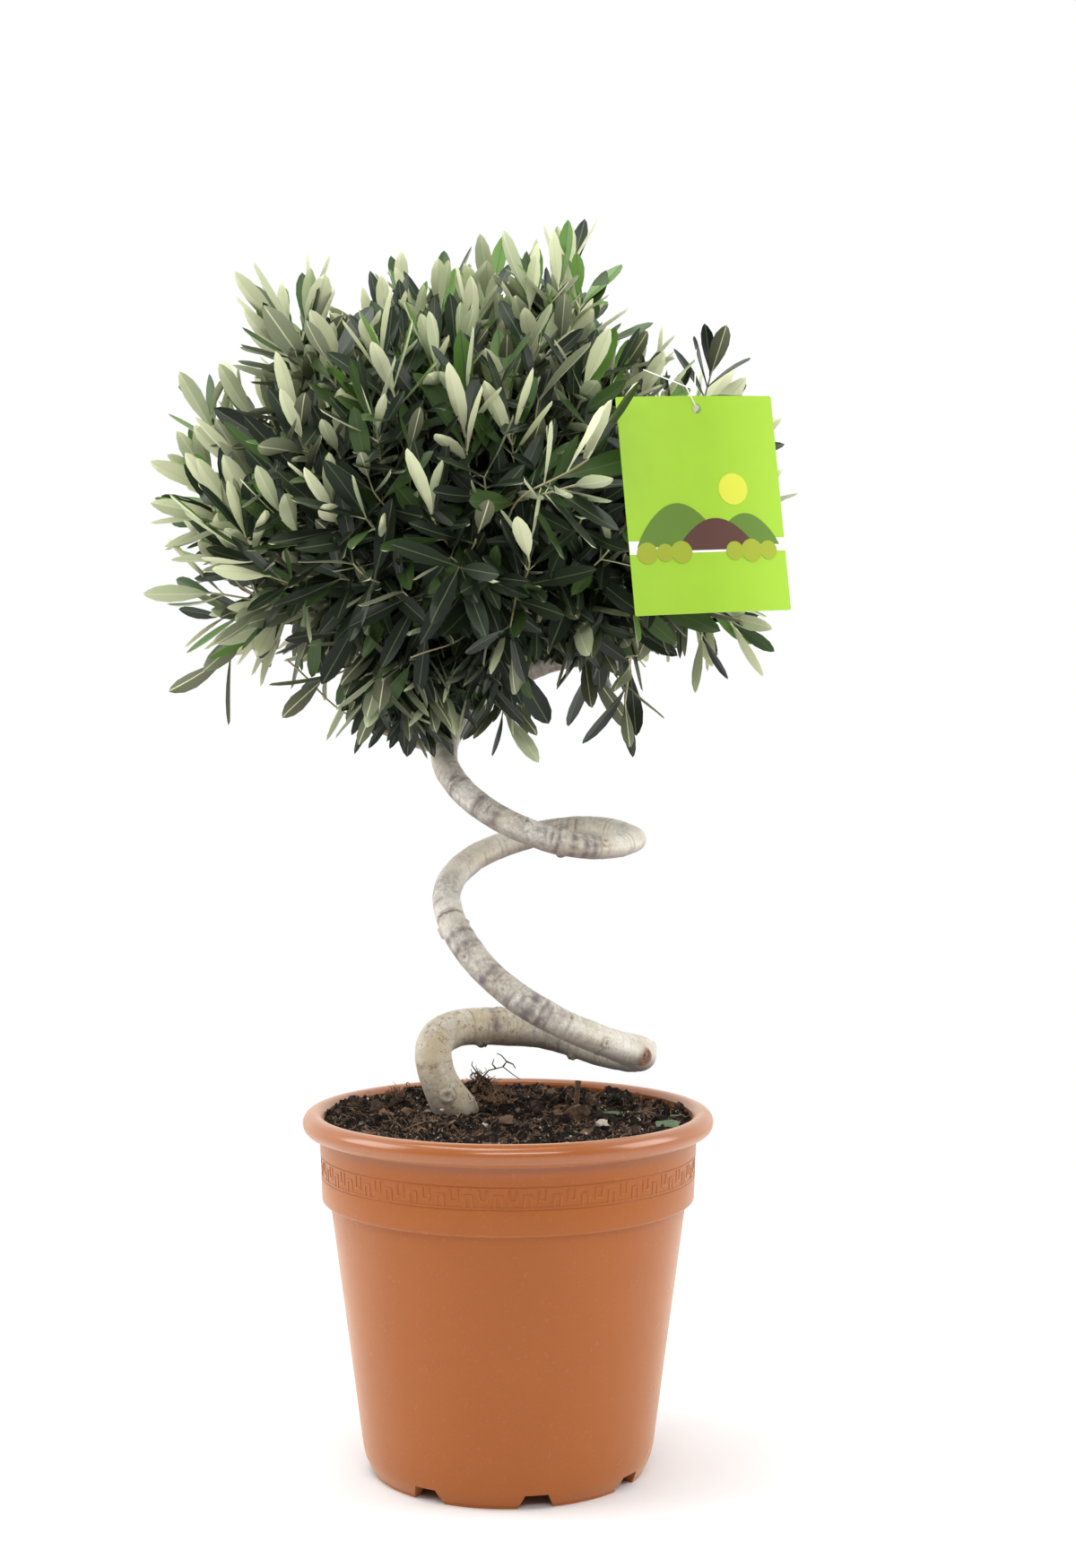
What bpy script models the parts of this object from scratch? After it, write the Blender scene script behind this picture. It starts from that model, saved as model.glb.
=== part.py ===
"""A young olive tree trained as a corkscrew, standing in a round plastic pot.

The pot and its soil are turned shapes. The trunk climbs out of the soil, bends
over and winds round an upright axis three times, then ends in a fork from which
a short leader and the boughs reach the masses of foliage. A card hangs from the
crown on a thread.

Metres, +Z up. The origin is the centre of the pot's flat underside, and the
tree is seen from the front along +Y, with its left side towards -X.
"""

import math

import bmesh
import bpy
import numpy as np
from mathutils import Matrix, Vector, noise
from mathutils.bvhtree import BVHTree

# Clearance between two pieces that touch on the real tree.
GAP = 0.0003

# Pot: heights from the floor, and radii from its axis.
POT_STEPS = 36
WALL = 0.0025
FLOOR = 0.003
FLOOR_ROUNDING = 0.006
BASE_DISC_RADIUS = 0.070
CHANNEL_INNER_RADIUS = 0.073
CHANNEL_OUTER_RADIUS = 0.097
CHANNEL_HEIGHT = 0.013
FOOT_RING_INNER_RADIUS = 0.099
FOOT_RADIUS = 0.1064
FOOT_LIP = 0.003
BODY_BOTTOM_RADIUS = 0.113
BODY_BOTTOM = 0.014
BODY_TOP_RADIUS = 0.1385
BODY_TOP = 0.209
BAND_BOTTOM_RADIUS = 0.145
BAND_BOTTOM = 0.2115
BAND_TOP_RADIUS = 0.147
RIM_RADIUS = 0.1515
RIM_HEIGHT = 0.2715
RIM_THICKNESS = 0.0085
RIM_INNER_EDGE = 0.2695
RIM_ARC = (150, -115)
RIM_ARC_POINTS = 8
FOOT_ROUNDING = 0.0012

# Notches in the pot's foot that let water out.
NOTCHES = 8
NOTCH_FIRST = math.radians(-90 + 11)
NOTCH_TOP_WIDTH = 0.018
NOTCH_BOTTOM_WIDTH = 0.030
NOTCH_HEIGHT = 0.0105
CUT_ALLOWANCE = 0.004

# Soil: flat round the trunk's foot, and falling a little towards the wall.
SOIL_TOP = 0.2717
SOIL_FLAT_RADIUS = 0.090
SOIL_EDGE = 0.266

# Trunk: its foot leans to the left, bends over, and joins a left-handed spiral.
# The three lists give the spiral's height, distance from its axis and the
# trunk's own radius at each quarter turn: left, back, right, front, and so on.
TRUNK_SIDES = 10
TRUNK_STEPS = 6
SPIRAL_AXIS = Vector((0.026, 0.0, 0.0))
QUARTER_HEIGHTS = (0.349, 0.331, 0.3235, 0.364, 0.446, 0.491, 0.491, 0.498, 0.558, 0.628, 0.642, 0.668, 0.700)
QUARTER_REACHES = (0.078, 0.074, 0.076, 0.074, 0.074, 0.074, 0.072, 0.074, 0.076, 0.073, 0.067, 0.050, 0.027)
QUARTER_RADII = (0.0154, 0.0148, 0.0140, 0.0116, 0.0108, 0.0100, 0.0093, 0.0097, 0.0100, 0.0090, 0.0088, 0.0086, 0.0085)
TRUNK_FOOT = Vector((-0.041, 0.033, SOIL_TOP + GAP))
FOOT_PULL = Vector((-0.034, -0.020, 0.057))
BEND_END = 0.75
BEND_PULL = 0.066
FOOT_RADIUS_AT_SOIL = 0.0185
FOOT_RADIUS_ABOVE = 0.0142
FLARE_SHARE = 0.25

# Crown: a dome that is higher than it is deep below its widest level.
CROWN_CENTRE = Vector((-0.028, 0.0, 0.720))
CROWN_LEFT = 0.252
CROWN_RIGHT = 0.250
CROWN_DEPTH = 0.228
CROWN_TOP = 0.252
CROWN_BOTTOM = 0.172
VALLEY = 0.34
LUMP_HEIGHT = 0.035
LUMP_SIZE = 0.045
MASS_SUBDIVISIONS = 3

# Rings of foliage masses: name, how many, elevation and first azimuth in degrees,
# how far out each mass's heart lies as a share of the dome, and the share of the
# way from its limb to its heart that is bare.
RINGS = (
    ("top", 1, 86.0, 0.0, 0.70, 0.52),
    ("upper", 4, 43.0, 170.0, 0.68, 0.42),
    ("middle", 6, 5.0, 0.0, 0.68, 0.42),
    ("lower", 5, -31.0, 180.0, 0.80, 0.40),
)
# Masses that stand proud of the dome or stay under it.
PROUD = {
    "crown_upper_1": 1.01,
    "crown_upper_3": 0.89,
    "crown_upper_4": 0.97,
    "crown_lower_1": 0.95,
    "crown_lower_3": 0.95,
    "crown_lower_4": 0.95,
}

# Leader above the fork, and the boughs.
LEADER_TOP = Vector((-0.012, 0.0, 0.830))
LEADER_RADIUS = 0.0080
LEADER_TIP_RADIUS = 0.0042
BOUGH_SIDES = 7
BOUGH_RADIUS = 0.0050
BOUGH_TIP_RADIUS = 0.0030
BOUGH_STEPS = 4
BOUGH_BOW = 0.010
BOUGH_HEIGHTS = {"upper": 0.55, "middle": 0.13}
BOUGH_STAGGER = 0.095
LIMB_CLEARANCE = 0.004

# Card on its thread.
CARD_SIZE = (0.117, 0.0008, 0.151)
CARD_CENTRE = Vector((0.1353, -0.2070, 0.7329))
CARD_YAW = math.radians(19.0)
CARD_LEAN = math.radians(-6.6)
CARD_ROLL = math.radians(-3.0)
CARD_HOLE_RADIUS = 0.003
CARD_HOLE_DROP = 0.009
THREAD_RADIUS = 0.0005
THREAD_ANCHORS = ((0.095, 0.828), (0.133, 0.842))
THREAD_STRAIGHT = 0.008
THREAD_END_GAP = 0.0011

COLOURS = {
    "pot": ((0.41, 0.145, 0.056), 0.45),
    "soil": ((0.045, 0.030, 0.024), 0.95),
    "bark": ((0.48, 0.42, 0.35), 0.80),
    "foliage": ((0.085, 0.125, 0.060), 0.60),
    "card": ((0.30, 0.56, 0.035), 0.35),
    "thread": ((0.85, 0.85, 0.82), 0.60),
}


def clear_scene():
    for obj in list(bpy.data.objects):
        bpy.data.objects.remove(obj, do_unlink=True)


def make_materials():
    made = {}
    for name, (colour, roughness) in COLOURS.items():
        material = bpy.data.materials.new(name)
        material.use_nodes = True
        shader = material.node_tree.nodes["Principled BSDF"]
        shader.inputs["Base Color"].default_value = (*colour, 1.0)
        shader.inputs["Roughness"].default_value = roughness
        shader.inputs["Metallic"].default_value = 0.0
        made[name] = material
    return made


def object_from(name, bm, material, parent, sharp_degrees=35.0):
    """Turn the edited mesh into a named object with its own copy of the material."""
    bmesh.ops.recalc_face_normals(bm, faces=bm.faces)
    mesh = bpy.data.meshes.new(name)
    bm.to_mesh(mesh)
    bm.free()
    mesh.shade_smooth()
    mesh.set_sharp_from_angle(angle=math.radians(sharp_degrees))
    own = material.copy()
    own.name = name + "_finish"
    mesh.materials.append(own)
    obj = bpy.data.objects.new(name, mesh)
    bpy.context.collection.objects.link(obj)
    obj.parent = parent
    return obj


def arc(centre, radius, start_degrees, end_degrees, steps):
    """Points on an arc in the plane of a turned outline, as (distance, height)."""
    angles = np.radians(np.linspace(start_degrees, end_degrees, steps))
    return [(centre[0] + radius * math.cos(a), centre[1] + radius * math.sin(a)) for a in angles]


def turned(name, outline, material, parent):
    """A closed outline turned round the Z axis by a Screw modifier."""
    bm = bmesh.new()
    corners = [bm.verts.new((distance, 0.0, height)) for distance, height in outline]
    for first, second in zip(corners, corners[1:]):
        bm.edges.new((first, second))
    mesh = bpy.data.meshes.new(name)
    bm.to_mesh(mesh)
    bm.free()
    own = material.copy()
    own.name = name + "_finish"
    mesh.materials.append(own)
    obj = bpy.data.objects.new(name, mesh)
    bpy.context.collection.objects.link(obj)
    obj.parent = parent
    screw = obj.modifiers.new("turn", "SCREW")
    screw.axis = "Z"
    screw.steps = POT_STEPS
    screw.render_steps = POT_STEPS
    screw.use_merge_vertices = True
    screw.merge_threshold = 0.00001
    return obj


def pot_cavity(clearance):
    """The inside of the pot from the middle of its floor up to the band, this far inside the wall."""
    slope = (BODY_TOP_RADIUS - BODY_BOTTOM_RADIUS) / (BODY_TOP - BODY_BOTTOM)
    low = BODY_BOTTOM + FLOOR + FLOOR_ROUNDING
    low_radius = BODY_BOTTOM_RADIUS + slope * (low - BODY_BOTTOM) - WALL
    inset = WALL + clearance
    return [
        (0.0, FLOOR + clearance),
        (BASE_DISC_RADIUS - inset, FLOOR + clearance),
        (CHANNEL_INNER_RADIUS - WALL - clearance, CHANNEL_HEIGHT + FLOOR + clearance),
        (CHANNEL_OUTER_RADIUS + WALL, CHANNEL_HEIGHT + FLOOR + clearance),
        (low_radius - clearance, low + clearance),
        (BODY_TOP_RADIUS - WALL - clearance, BODY_TOP),
        (BAND_BOTTOM_RADIUS - WALL - clearance, BAND_BOTTOM + clearance),
    ]


def make_pot(materials, parent):
    outline = pot_cavity(0.0)
    inner_top = BAND_TOP_RADIUS - WALL
    outline += [(inner_top, RIM_INNER_EDGE)]
    outline += arc((RIM_RADIUS, RIM_HEIGHT), RIM_THICKNESS, *RIM_ARC, RIM_ARC_POINTS)
    outline += [
        (BAND_TOP_RADIUS, RIM_HEIGHT - RIM_THICKNESS),
        (BAND_BOTTOM_RADIUS, BAND_BOTTOM),
        (BODY_TOP_RADIUS, BODY_TOP),
        (BODY_BOTTOM_RADIUS, BODY_BOTTOM),
        (BODY_BOTTOM_RADIUS - FOOT_ROUNDING, BODY_BOTTOM / 2),
        (FOOT_RADIUS + FOOT_ROUNDING, FOOT_LIP),
        (FOOT_RADIUS, 0.0),
        (FOOT_RING_INNER_RADIUS, 0.0),
        (CHANNEL_OUTER_RADIUS, CHANNEL_HEIGHT),
        (CHANNEL_INNER_RADIUS, CHANNEL_HEIGHT),
        (BASE_DISC_RADIUS, 0.0),
        (0.0, 0.0),
    ]
    pot = turned("pot", outline, materials["pot"], parent)
    cut = pot.modifiers.new("notches", "BOOLEAN")
    cut.operation = "DIFFERENCE"
    cut.solver = "EXACT"
    cut.object = make_notch_cutter(parent)
    return pot


def make_notch_cutter(parent):
    """Eight blocks with sloping sides, one through the foot ring at each notch."""
    bm = bmesh.new()
    near = (CHANNEL_INNER_RADIUS + CHANNEL_OUTER_RADIUS) / 2
    far = BODY_BOTTOM_RADIUS + CUT_ALLOWANCE
    below = -CUT_ALLOWANCE
    spread = (NOTCH_BOTTOM_WIDTH - NOTCH_TOP_WIDTH) / 2 / NOTCH_HEIGHT
    for index in range(NOTCHES):
        turn = Matrix.Rotation(NOTCH_FIRST + index * math.tau / NOTCHES, 4, "Z")
        corners = []
        for distance in (near, far):
            for height in (below, NOTCH_HEIGHT):
                half = NOTCH_TOP_WIDTH / 2 + spread * (NOTCH_HEIGHT - height)
                corners += [Vector((distance, side * half, height)) for side in (-1, 1)]
        verts = [bm.verts.new(turn @ corner) for corner in corners]
        bmesh.ops.convex_hull(bm, input=verts)
    cutter = object_from("notch_cutter", bm, bpy.data.materials["pot"], parent)
    cutter.hide_render = True
    cutter.display_type = "WIRE"
    return cutter


def make_soil(materials, parent):
    wall_radius = BAND_TOP_RADIUS - WALL - 2 * GAP
    outline = [(0.0, SOIL_TOP), (SOIL_FLAT_RADIUS, SOIL_TOP), (wall_radius, SOIL_EDGE)]
    outline += reversed(pot_cavity(GAP))
    return turned("soil", outline, materials["soil"], parent)


def smooth_value(values, at):
    """A smooth curve through values that stand at 0, 1, 2 and so on."""
    index = min(int(at), len(values) - 2)
    share = at - index
    last = len(values) - 1
    before = values[index - 1] if index > 0 else 2 * values[0] - values[1]
    after = values[index + 2] if index + 2 <= last else 2 * values[last] - values[last - 1]
    start, end = values[index], values[index + 1]
    start_slope = (end - before) / 2
    end_slope = (after - start) / 2
    rise = end - start
    return (
        start
        + share * start_slope
        + share**2 * (3 * rise - 2 * start_slope - end_slope)
        + share**3 * (start_slope + end_slope - 2 * rise)
    )


def spiral_point(quarter):
    angle = math.pi - quarter * math.pi / 2
    reach = smooth_value(QUARTER_REACHES, quarter)
    height = smooth_value(QUARTER_HEIGHTS, quarter)
    return SPIRAL_AXIS + Vector((reach * math.cos(angle), reach * math.sin(angle), height))


def spiral_direction(quarter):
    step = 0.01
    last = len(QUARTER_HEIGHTS) - 1
    return (spiral_point(min(quarter + step, last)) - spiral_point(quarter - step)).normalized()


def trunk_point(at):
    """Centre of the trunk: below BEND_END it is the foot's own curve, and above it the spiral.

    The foot's curve starts in the soil at BEND_END - 1.
    """
    if at >= BEND_END:
        return spiral_point(at)
    share = at - (BEND_END - 1)
    end = spiral_point(BEND_END)
    first_pull = TRUNK_FOOT + FOOT_PULL
    last_pull = end - spiral_direction(BEND_END) * BEND_PULL
    left = 1 - share
    return (
        TRUNK_FOOT * left**3
        + first_pull * 3 * left**2 * share
        + last_pull * 3 * left * share**2
        + end * share**3
    )


def trunk_direction(at):
    step = 0.01
    lowest, highest = BEND_END - 1, len(QUARTER_HEIGHTS) - 1
    before, after = max(at - step, lowest), min(at + step, highest)
    return (trunk_point(after) - trunk_point(before)).normalized()


def trunk_radius(at):
    if at >= BEND_END:
        return smooth_value(QUARTER_RADII, at)
    share = at - (BEND_END - 1)
    flare = (FOOT_RADIUS_AT_SOIL - FOOT_RADIUS_ABOVE) * max(0.0, 1 - share / FLARE_SHARE) ** 2
    bend_radius = smooth_value(QUARTER_RADII, BEND_END)
    return FOOT_RADIUS_ABOVE + (bend_radius - FOOT_RADIUS_ABOVE) * share + flare


def limb(name, stations, sides, material, parent):
    """A closed limb through stations of (centre, direction, radius): circles bridged in turn, with flat ends."""
    bm = bmesh.new()
    turn = Vector((0, 0, 1)).rotation_difference(stations[0][1])
    rings = []
    for index, (centre, direction, radius) in enumerate(stations):
        if index:
            turn = stations[index - 1][1].rotation_difference(direction) @ turn
        place = Matrix.Translation(centre) @ turn.to_matrix().to_4x4()
        made = bmesh.ops.create_circle(bm, segments=sides, radius=radius, matrix=place, cap_ends=False)
        edges = {edge for vert in made["verts"] for edge in vert.link_edges}
        rings.append(sorted(edges, key=lambda edge: edge.index))
    for first, second in zip(rings, rings[1:]):
        bmesh.ops.bridge_loops(bm, edges=first + second)
    for ring in (rings[0], rings[-1]):
        bmesh.ops.edgeloop_fill(bm, edges=ring)
    return object_from(name, bm, material, parent)


def trunk_stations(start, end):
    """Stations along a stretch of the trunk, with half a gap left free at either end."""
    stations = []
    steps = max(3, round(TRUNK_STEPS * (end - start)))
    for at in np.linspace(start, end, steps + 1):
        stations.append([trunk_point(at), trunk_direction(at), trunk_radius(at)])
    if start > BEND_END - 1:
        stations[0][0] = stations[0][0] + stations[0][1] * GAP / 2
    else:
        stations[0][1] = Vector((0, 0, 1))
    stations[-1][0] = stations[-1][0] - stations[-1][1] * GAP / 2
    return stations


def make_trunk(materials, parent):
    """The trunk in pieces: the foot, the bend, and one for each quarter turn. Returns its whole surface."""
    ends = [BEND_END - 1, BEND_END - 0.5] + list(range(1, len(QUARTER_HEIGHTS)))
    whole = bmesh.new()
    for index, (start, end) in enumerate(zip(ends, ends[1:]), start=1):
        stations = trunk_stations(start, end)
        piece = limb(f"trunk_{index:02d}", stations, TRUNK_SIDES, materials["bark"], parent)
        whole.from_mesh(piece.data)
    surface = BVHTree.FromBMesh(whole)
    whole.free()
    return surface


def unit(azimuth_degrees, elevation_degrees):
    azimuth, elevation = math.radians(azimuth_degrees), math.radians(elevation_degrees)
    flat = math.cos(elevation)
    return Vector((flat * math.cos(azimuth), flat * math.sin(azimuth), math.sin(elevation)))


def dome_reach(direction):
    """Distance from the crown's centre to the dome's surface along a unit direction."""
    side = CROWN_RIGHT if direction.x > 0 else CROWN_LEFT
    rise = CROWN_TOP if direction.z > 0 else CROWN_BOTTOM
    return 1 / math.sqrt((direction.x / side) ** 2 + (direction.y / CROWN_DEPTH) ** 2 + (direction.z / rise) ** 2)


def plan_masses():
    """Each mass as a dictionary: its name, ring, azimuth, axis, heart and the bare share of its limb."""
    masses = []
    for ring, count, elevation, first_azimuth, heart_share, bare in RINGS:
        for index in range(count):
            azimuth = first_azimuth + index * 360.0 / count
            axis = unit(azimuth, elevation)
            name = f"crown_{ring}_{index + 1}" if count > 1 else f"crown_{ring}"
            heart = CROWN_CENTRE + axis * dome_reach(axis) * heart_share
            mass = {"name": name, "ring": ring, "azimuth": azimuth, "axis": axis, "heart": heart, "bare": bare}
            mass["limb_share"] = BOUGH_HEIGHTS.get(ring, 0) + BOUGH_STAGGER * (index % 2)
            masses.append(mass)
    return masses


def mass_limit(mass, point):
    """How far a point lies outside the mass's uneven outer surface; negative inside."""
    offset = point - CROWN_CENTRE
    distance = offset.length
    direction = offset / distance
    turn_away = 1 - direction.dot(mass["axis"]) ** 2
    lump = noise.noise(point / LUMP_SIZE + mass["axis"] * 7)
    reach = dome_reach(direction) * PROUD.get(mass["name"], 1.0)
    return distance - reach * (1 - VALLEY * turn_away) * (1 + LUMP_HEIGHT * lump)


def outer_distance(mass, direction):
    """Distance from the mass's heart to its outer surface, halved down on."""
    near, far = 0.0, CROWN_LEFT + CROWN_RIGHT
    for _ in range(30):
        middle = (near + far) / 2
        if mass_limit(mass, mass["heart"] + direction * middle) < 0:
            near = middle
        else:
            far = middle
    return near


def flat_limits(mass, masses, limb_balls):
    """Planes that bound a mass, as (outward normal, distance from its heart)."""
    limits = []
    for other in masses:
        if other is mass:
            continue
        apart = other["heart"] - mass["heart"]
        limits.append((apart.normalized(), apart.length / 2 - GAP / 2))
    inwards = limb_start(mass) - mass["heart"]
    limits.append((inwards.normalized(), inwards.length * (1 - mass["bare"])))
    for centre, radius, owner in limb_balls:
        if owner == mass["name"]:
            continue
        apart = centre - mass["heart"]
        limits.append((apart.normalized(), apart.length - radius - LIMB_CLEARANCE))
    return limits


def make_mass(mass, masses, limb_balls, materials, parent):
    """An icosphere whose points are pushed out from the heart to the first limit they meet."""
    limits = flat_limits(mass, masses, limb_balls)
    bm = bmesh.new()
    bmesh.ops.create_icosphere(bm, subdivisions=MASS_SUBDIVISIONS, radius=1.0)
    for vert in bm.verts:
        direction = vert.co.normalized()
        distance = outer_distance(mass, direction)
        for normal, limit in limits:
            towards = direction.dot(normal)
            if towards > 0:
                distance = min(distance, limit / towards)
        vert.co = mass["heart"] + direction * distance
    mass["tree"] = BVHTree.FromBMesh(bm)
    return object_from(mass["name"], bm, materials["foliage"], parent, sharp_degrees=60.0)


def leader_point(share):
    return spiral_point(len(QUARTER_HEIGHTS) - 1).lerp(LEADER_TOP, share)


def leader_radius(share):
    return LEADER_RADIUS + (LEADER_TIP_RADIUS - LEADER_RADIUS) * share


def plan_bough(mass):
    """Where a bough starts, and the limb that it leaves: (root on that limb, its radius, its direction)."""
    if mass["ring"] == "lower":
        # The limb leaves at one of the trunk's own stations, where its flat sides stand out furthest.
        quarter = 8 + ((180.0 - mass["azimuth"]) % 360.0) / 90.0
        quarter = round(quarter * TRUNK_STEPS + 0.5) / TRUNK_STEPS
        return trunk_point(quarter), trunk_radius(quarter), trunk_direction(quarter)
    share = mass["limb_share"]
    axis = (leader_point(1) - leader_point(0)).normalized()
    return leader_point(share), leader_radius(share), axis


def set_bough_line(mass, trunk_surface):
    """Start and heading of a bough, its end just clear of the limb that it leaves."""
    root, radius, axis = plan_bough(mass)
    heading = (mass["heart"] - root).normalized()
    along = abs(heading.dot(axis))
    across = math.sqrt(1 - along**2)
    off = (radius + GAP + BOUGH_RADIUS * along) / across
    if mass["ring"] == "lower":
        step = 0.0001
        while is_clear((root + heading * (off - step), heading, BOUGH_RADIUS), trunk_surface):
            off -= step
    mass["start"], mass["heading"] = root + heading * off, heading


def limb_start(mass):
    """Where the limb that carries a mass begins."""
    return leader_point(0) if mass["ring"] == "top" else mass["start"]


def bough_point(mass, share):
    """A point of the bough's centre line, which sags a little between its ends."""
    sag = 4 * share * (1 - share) * BOUGH_BOW
    return mass["start"].lerp(mass["heart"], share) - Vector((0, 0, sag))


def bough_station(mass, share):
    step = 0.01
    ahead = bough_point(mass, share + step) - bough_point(mass, share - step)
    radius = BOUGH_RADIUS + (BOUGH_TIP_RADIUS - BOUGH_RADIUS) * share
    direction = mass["heading"] if share == 0 else ahead.normalized()
    return bough_point(mass, share), direction, radius


def is_clear(station, tree):
    """Whether the flat end of a limb keeps the gap from a mass."""
    centre, direction, radius = station
    side = direction.orthogonal().normalized()
    points = [centre]
    for index in range(12):
        turned_side = Matrix.Rotation(index * math.tau / 12, 3, direction) @ side
        points.append(centre + turned_side * radius)
    return all(tree.find_nearest(point)[3] > GAP + 0.00005 for point in points)


def clear_share(station_at, tree, start_share):
    """The last share of a limb's path at which its end is still clear of the mass that it enters."""
    share, step = start_share, 0.004
    while share + step < 1 and is_clear(station_at(share + step), tree):
        share += step
    far = share + step
    for _ in range(16):
        middle = (share + far) / 2
        if is_clear(station_at(middle), tree):
            share = middle
        else:
            far = middle
    return share


def make_boughs(masses, materials, parent):
    for mass in masses:
        if mass["ring"] == "top":
            continue
        end = clear_share(lambda share, owner=mass: bough_station(owner, share), mass["tree"], 0.0)
        stations = [bough_station(mass, share) for share in np.linspace(0, end, BOUGH_STEPS + 1)]
        name = mass["name"].replace("crown", "bough")
        limb(name, stations, BOUGH_SIDES, materials["bark"], parent)


def leader_station(share):
    axis = (leader_point(1) - leader_point(0)).normalized()
    return leader_point(share), axis, leader_radius(share)


def make_leader(masses, materials, parent):
    """The upright limb above the fork, from the trunk's end to the mass at the top."""
    top = next(mass for mass in masses if mass["ring"] == "top")
    end = clear_share(leader_station, top["tree"], 0.3)
    stations = [leader_station(share) for share in np.linspace(0, end, BOUGH_STEPS + 1)]
    last = len(QUARTER_HEIGHTS) - 1
    axis = stations[0][1]
    tilt = math.sqrt(1 - trunk_direction(last).dot(axis) ** 2)
    lift = GAP + (LEADER_RADIUS + trunk_radius(last)) / 2 * tilt
    stations[0] = (stations[0][0] + axis * lift, axis, stations[0][2])
    limb("leader", stations, TRUNK_SIDES, materials["bark"], parent)


def plan_limb_balls(masses):
    """Balls along the trunk, the leader and the boughs, as (centre, radius, name of the mass that may be near)."""
    balls = []
    for at in np.arange(7.0, len(QUARTER_HEIGHTS) - 1, 0.1):
        balls.append((trunk_point(at), trunk_radius(at), None))
    for share in np.linspace(0, 1, 12):
        balls.append((leader_point(share), leader_radius(share), "crown_top"))
    for mass in masses:
        if mass["ring"] == "top":
            continue
        for share in np.linspace(0, 0.55, 6):
            balls.append((bough_point(mass, share), BOUGH_RADIUS, mass["name"]))
    return balls


def card_place():
    turn = Matrix.Rotation(CARD_YAW, 4, "Z") @ Matrix.Rotation(CARD_LEAN, 4, "X")
    return Matrix.Translation(CARD_CENTRE) @ turn @ Matrix.Rotation(CARD_ROLL, 4, "Y")


def make_card(materials, parent):
    """A thin printed card with a round hole near its top edge."""
    place = card_place()
    bm = bmesh.new()
    bmesh.ops.create_cube(bm, size=1.0, matrix=place @ Matrix.Diagonal((*CARD_SIZE, 1.0)))
    card = object_from("label_card", bm, materials["card"], parent)
    cutter_mesh = bmesh.new()
    hole = Matrix.Translation((0, 0, CARD_SIZE[2] / 2 - CARD_HOLE_DROP)) @ Matrix.Rotation(math.pi / 2, 4, "X")
    bmesh.ops.create_cone(
        cutter_mesh,
        cap_ends=True,
        segments=16,
        radius1=CARD_HOLE_RADIUS,
        radius2=CARD_HOLE_RADIUS,
        depth=CARD_SIZE[1] * 8,
        matrix=place @ hole,
    )
    cutter = object_from("hole_cutter", cutter_mesh, materials["card"], parent)
    cutter.hide_render = True
    cutter.display_type = "WIRE"
    cut = card.modifiers.new("hole", "BOOLEAN")
    cut.operation = "DIFFERENCE"
    cut.solver = "EXACT"
    cut.object = cutter


def front_of_crown(masses, x, z):
    """The point of the crown's front, at this place across and up, where a thread can end."""
    start, towards = Vector((x, -0.5, z)), Vector((0, 1, 0))
    hits = [mass["tree"].ray_cast(start, towards)[0] for mass in masses]
    nearest = min(hit.y for hit in hits if hit)
    return Vector((x, nearest, z))


def make_thread(masses, materials, parent):
    """A thread from the crown over the card's top edge, through its hole and back up to the crown."""
    place = card_place()
    top = CARD_SIZE[2] / 2
    rest = top - CARD_HOLE_DROP + CARD_HOLE_RADIUS * math.cos(math.pi / 16) - THREAD_RADIUS - 1.5 * GAP
    off_face = CARD_SIZE[1] / 2 + THREAD_RADIUS + 2 * GAP
    ends = [front_of_crown(masses, x, z) - Vector((0, THREAD_END_GAP, 0)) for x, z in THREAD_ANCHORS]
    straight = Vector((0, THREAD_STRAIGHT, 0))
    route = [
        ends[0],
        ends[0] - straight,
        place @ Vector((-0.0060, -off_face, top + 0.003)),
        place @ Vector((-0.0009, -off_face, rest + 0.0004)),
        place @ Vector((-0.0002, -off_face / 2, rest)),
        place @ Vector((0.0002, off_face / 2, rest)),
        place @ Vector((0.0004, off_face * 1.4, rest + 0.0006)),
        ends[1] - straight,
        ends[1],
    ]
    curve = bpy.data.curves.new("label_thread", "CURVE")
    curve.dimensions = "3D"
    curve.bevel_depth = THREAD_RADIUS
    curve.bevel_resolution = 1
    curve.use_fill_caps = True
    own = materials["thread"].copy()
    own.name = "label_thread_finish"
    curve.materials.append(own)
    spline = curve.splines.new("POLY")
    spline.points.add(len(route) - 1)
    for point, place_on_route in zip(spline.points, route):
        point.co = (*place_on_route, 1.0)
    obj = bpy.data.objects.new("label_thread", curve)
    bpy.context.collection.objects.link(obj)
    obj.parent = parent


def main():
    clear_scene()
    materials = make_materials()
    tree = bpy.data.objects.new("potted_olive_tree", None)
    bpy.context.collection.objects.link(tree)
    make_pot(materials, tree)
    make_soil(materials, tree)
    trunk_surface = make_trunk(materials, tree)
    masses = plan_masses()
    for mass in masses:
        if mass["ring"] != "top":
            set_bough_line(mass, trunk_surface)
    limb_balls = plan_limb_balls(masses)
    for mass in masses:
        make_mass(mass, masses, limb_balls, materials, tree)
    make_leader(masses, materials, tree)
    make_boughs(masses, materials, tree)
    make_card(materials, tree)
    make_thread(masses, materials, tree)


main()
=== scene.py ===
# %% [markdown]
# # A corkscrew olive in its pot
# A young olive tree was wound round a post while it was soft, so its trunk climbs in three turns to a
# clipped crown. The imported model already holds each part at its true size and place. This lesson gives each
# part its real surface: moulded plastic, crumbly compost, bark with scars, and a crown grown twig by twig.

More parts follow.
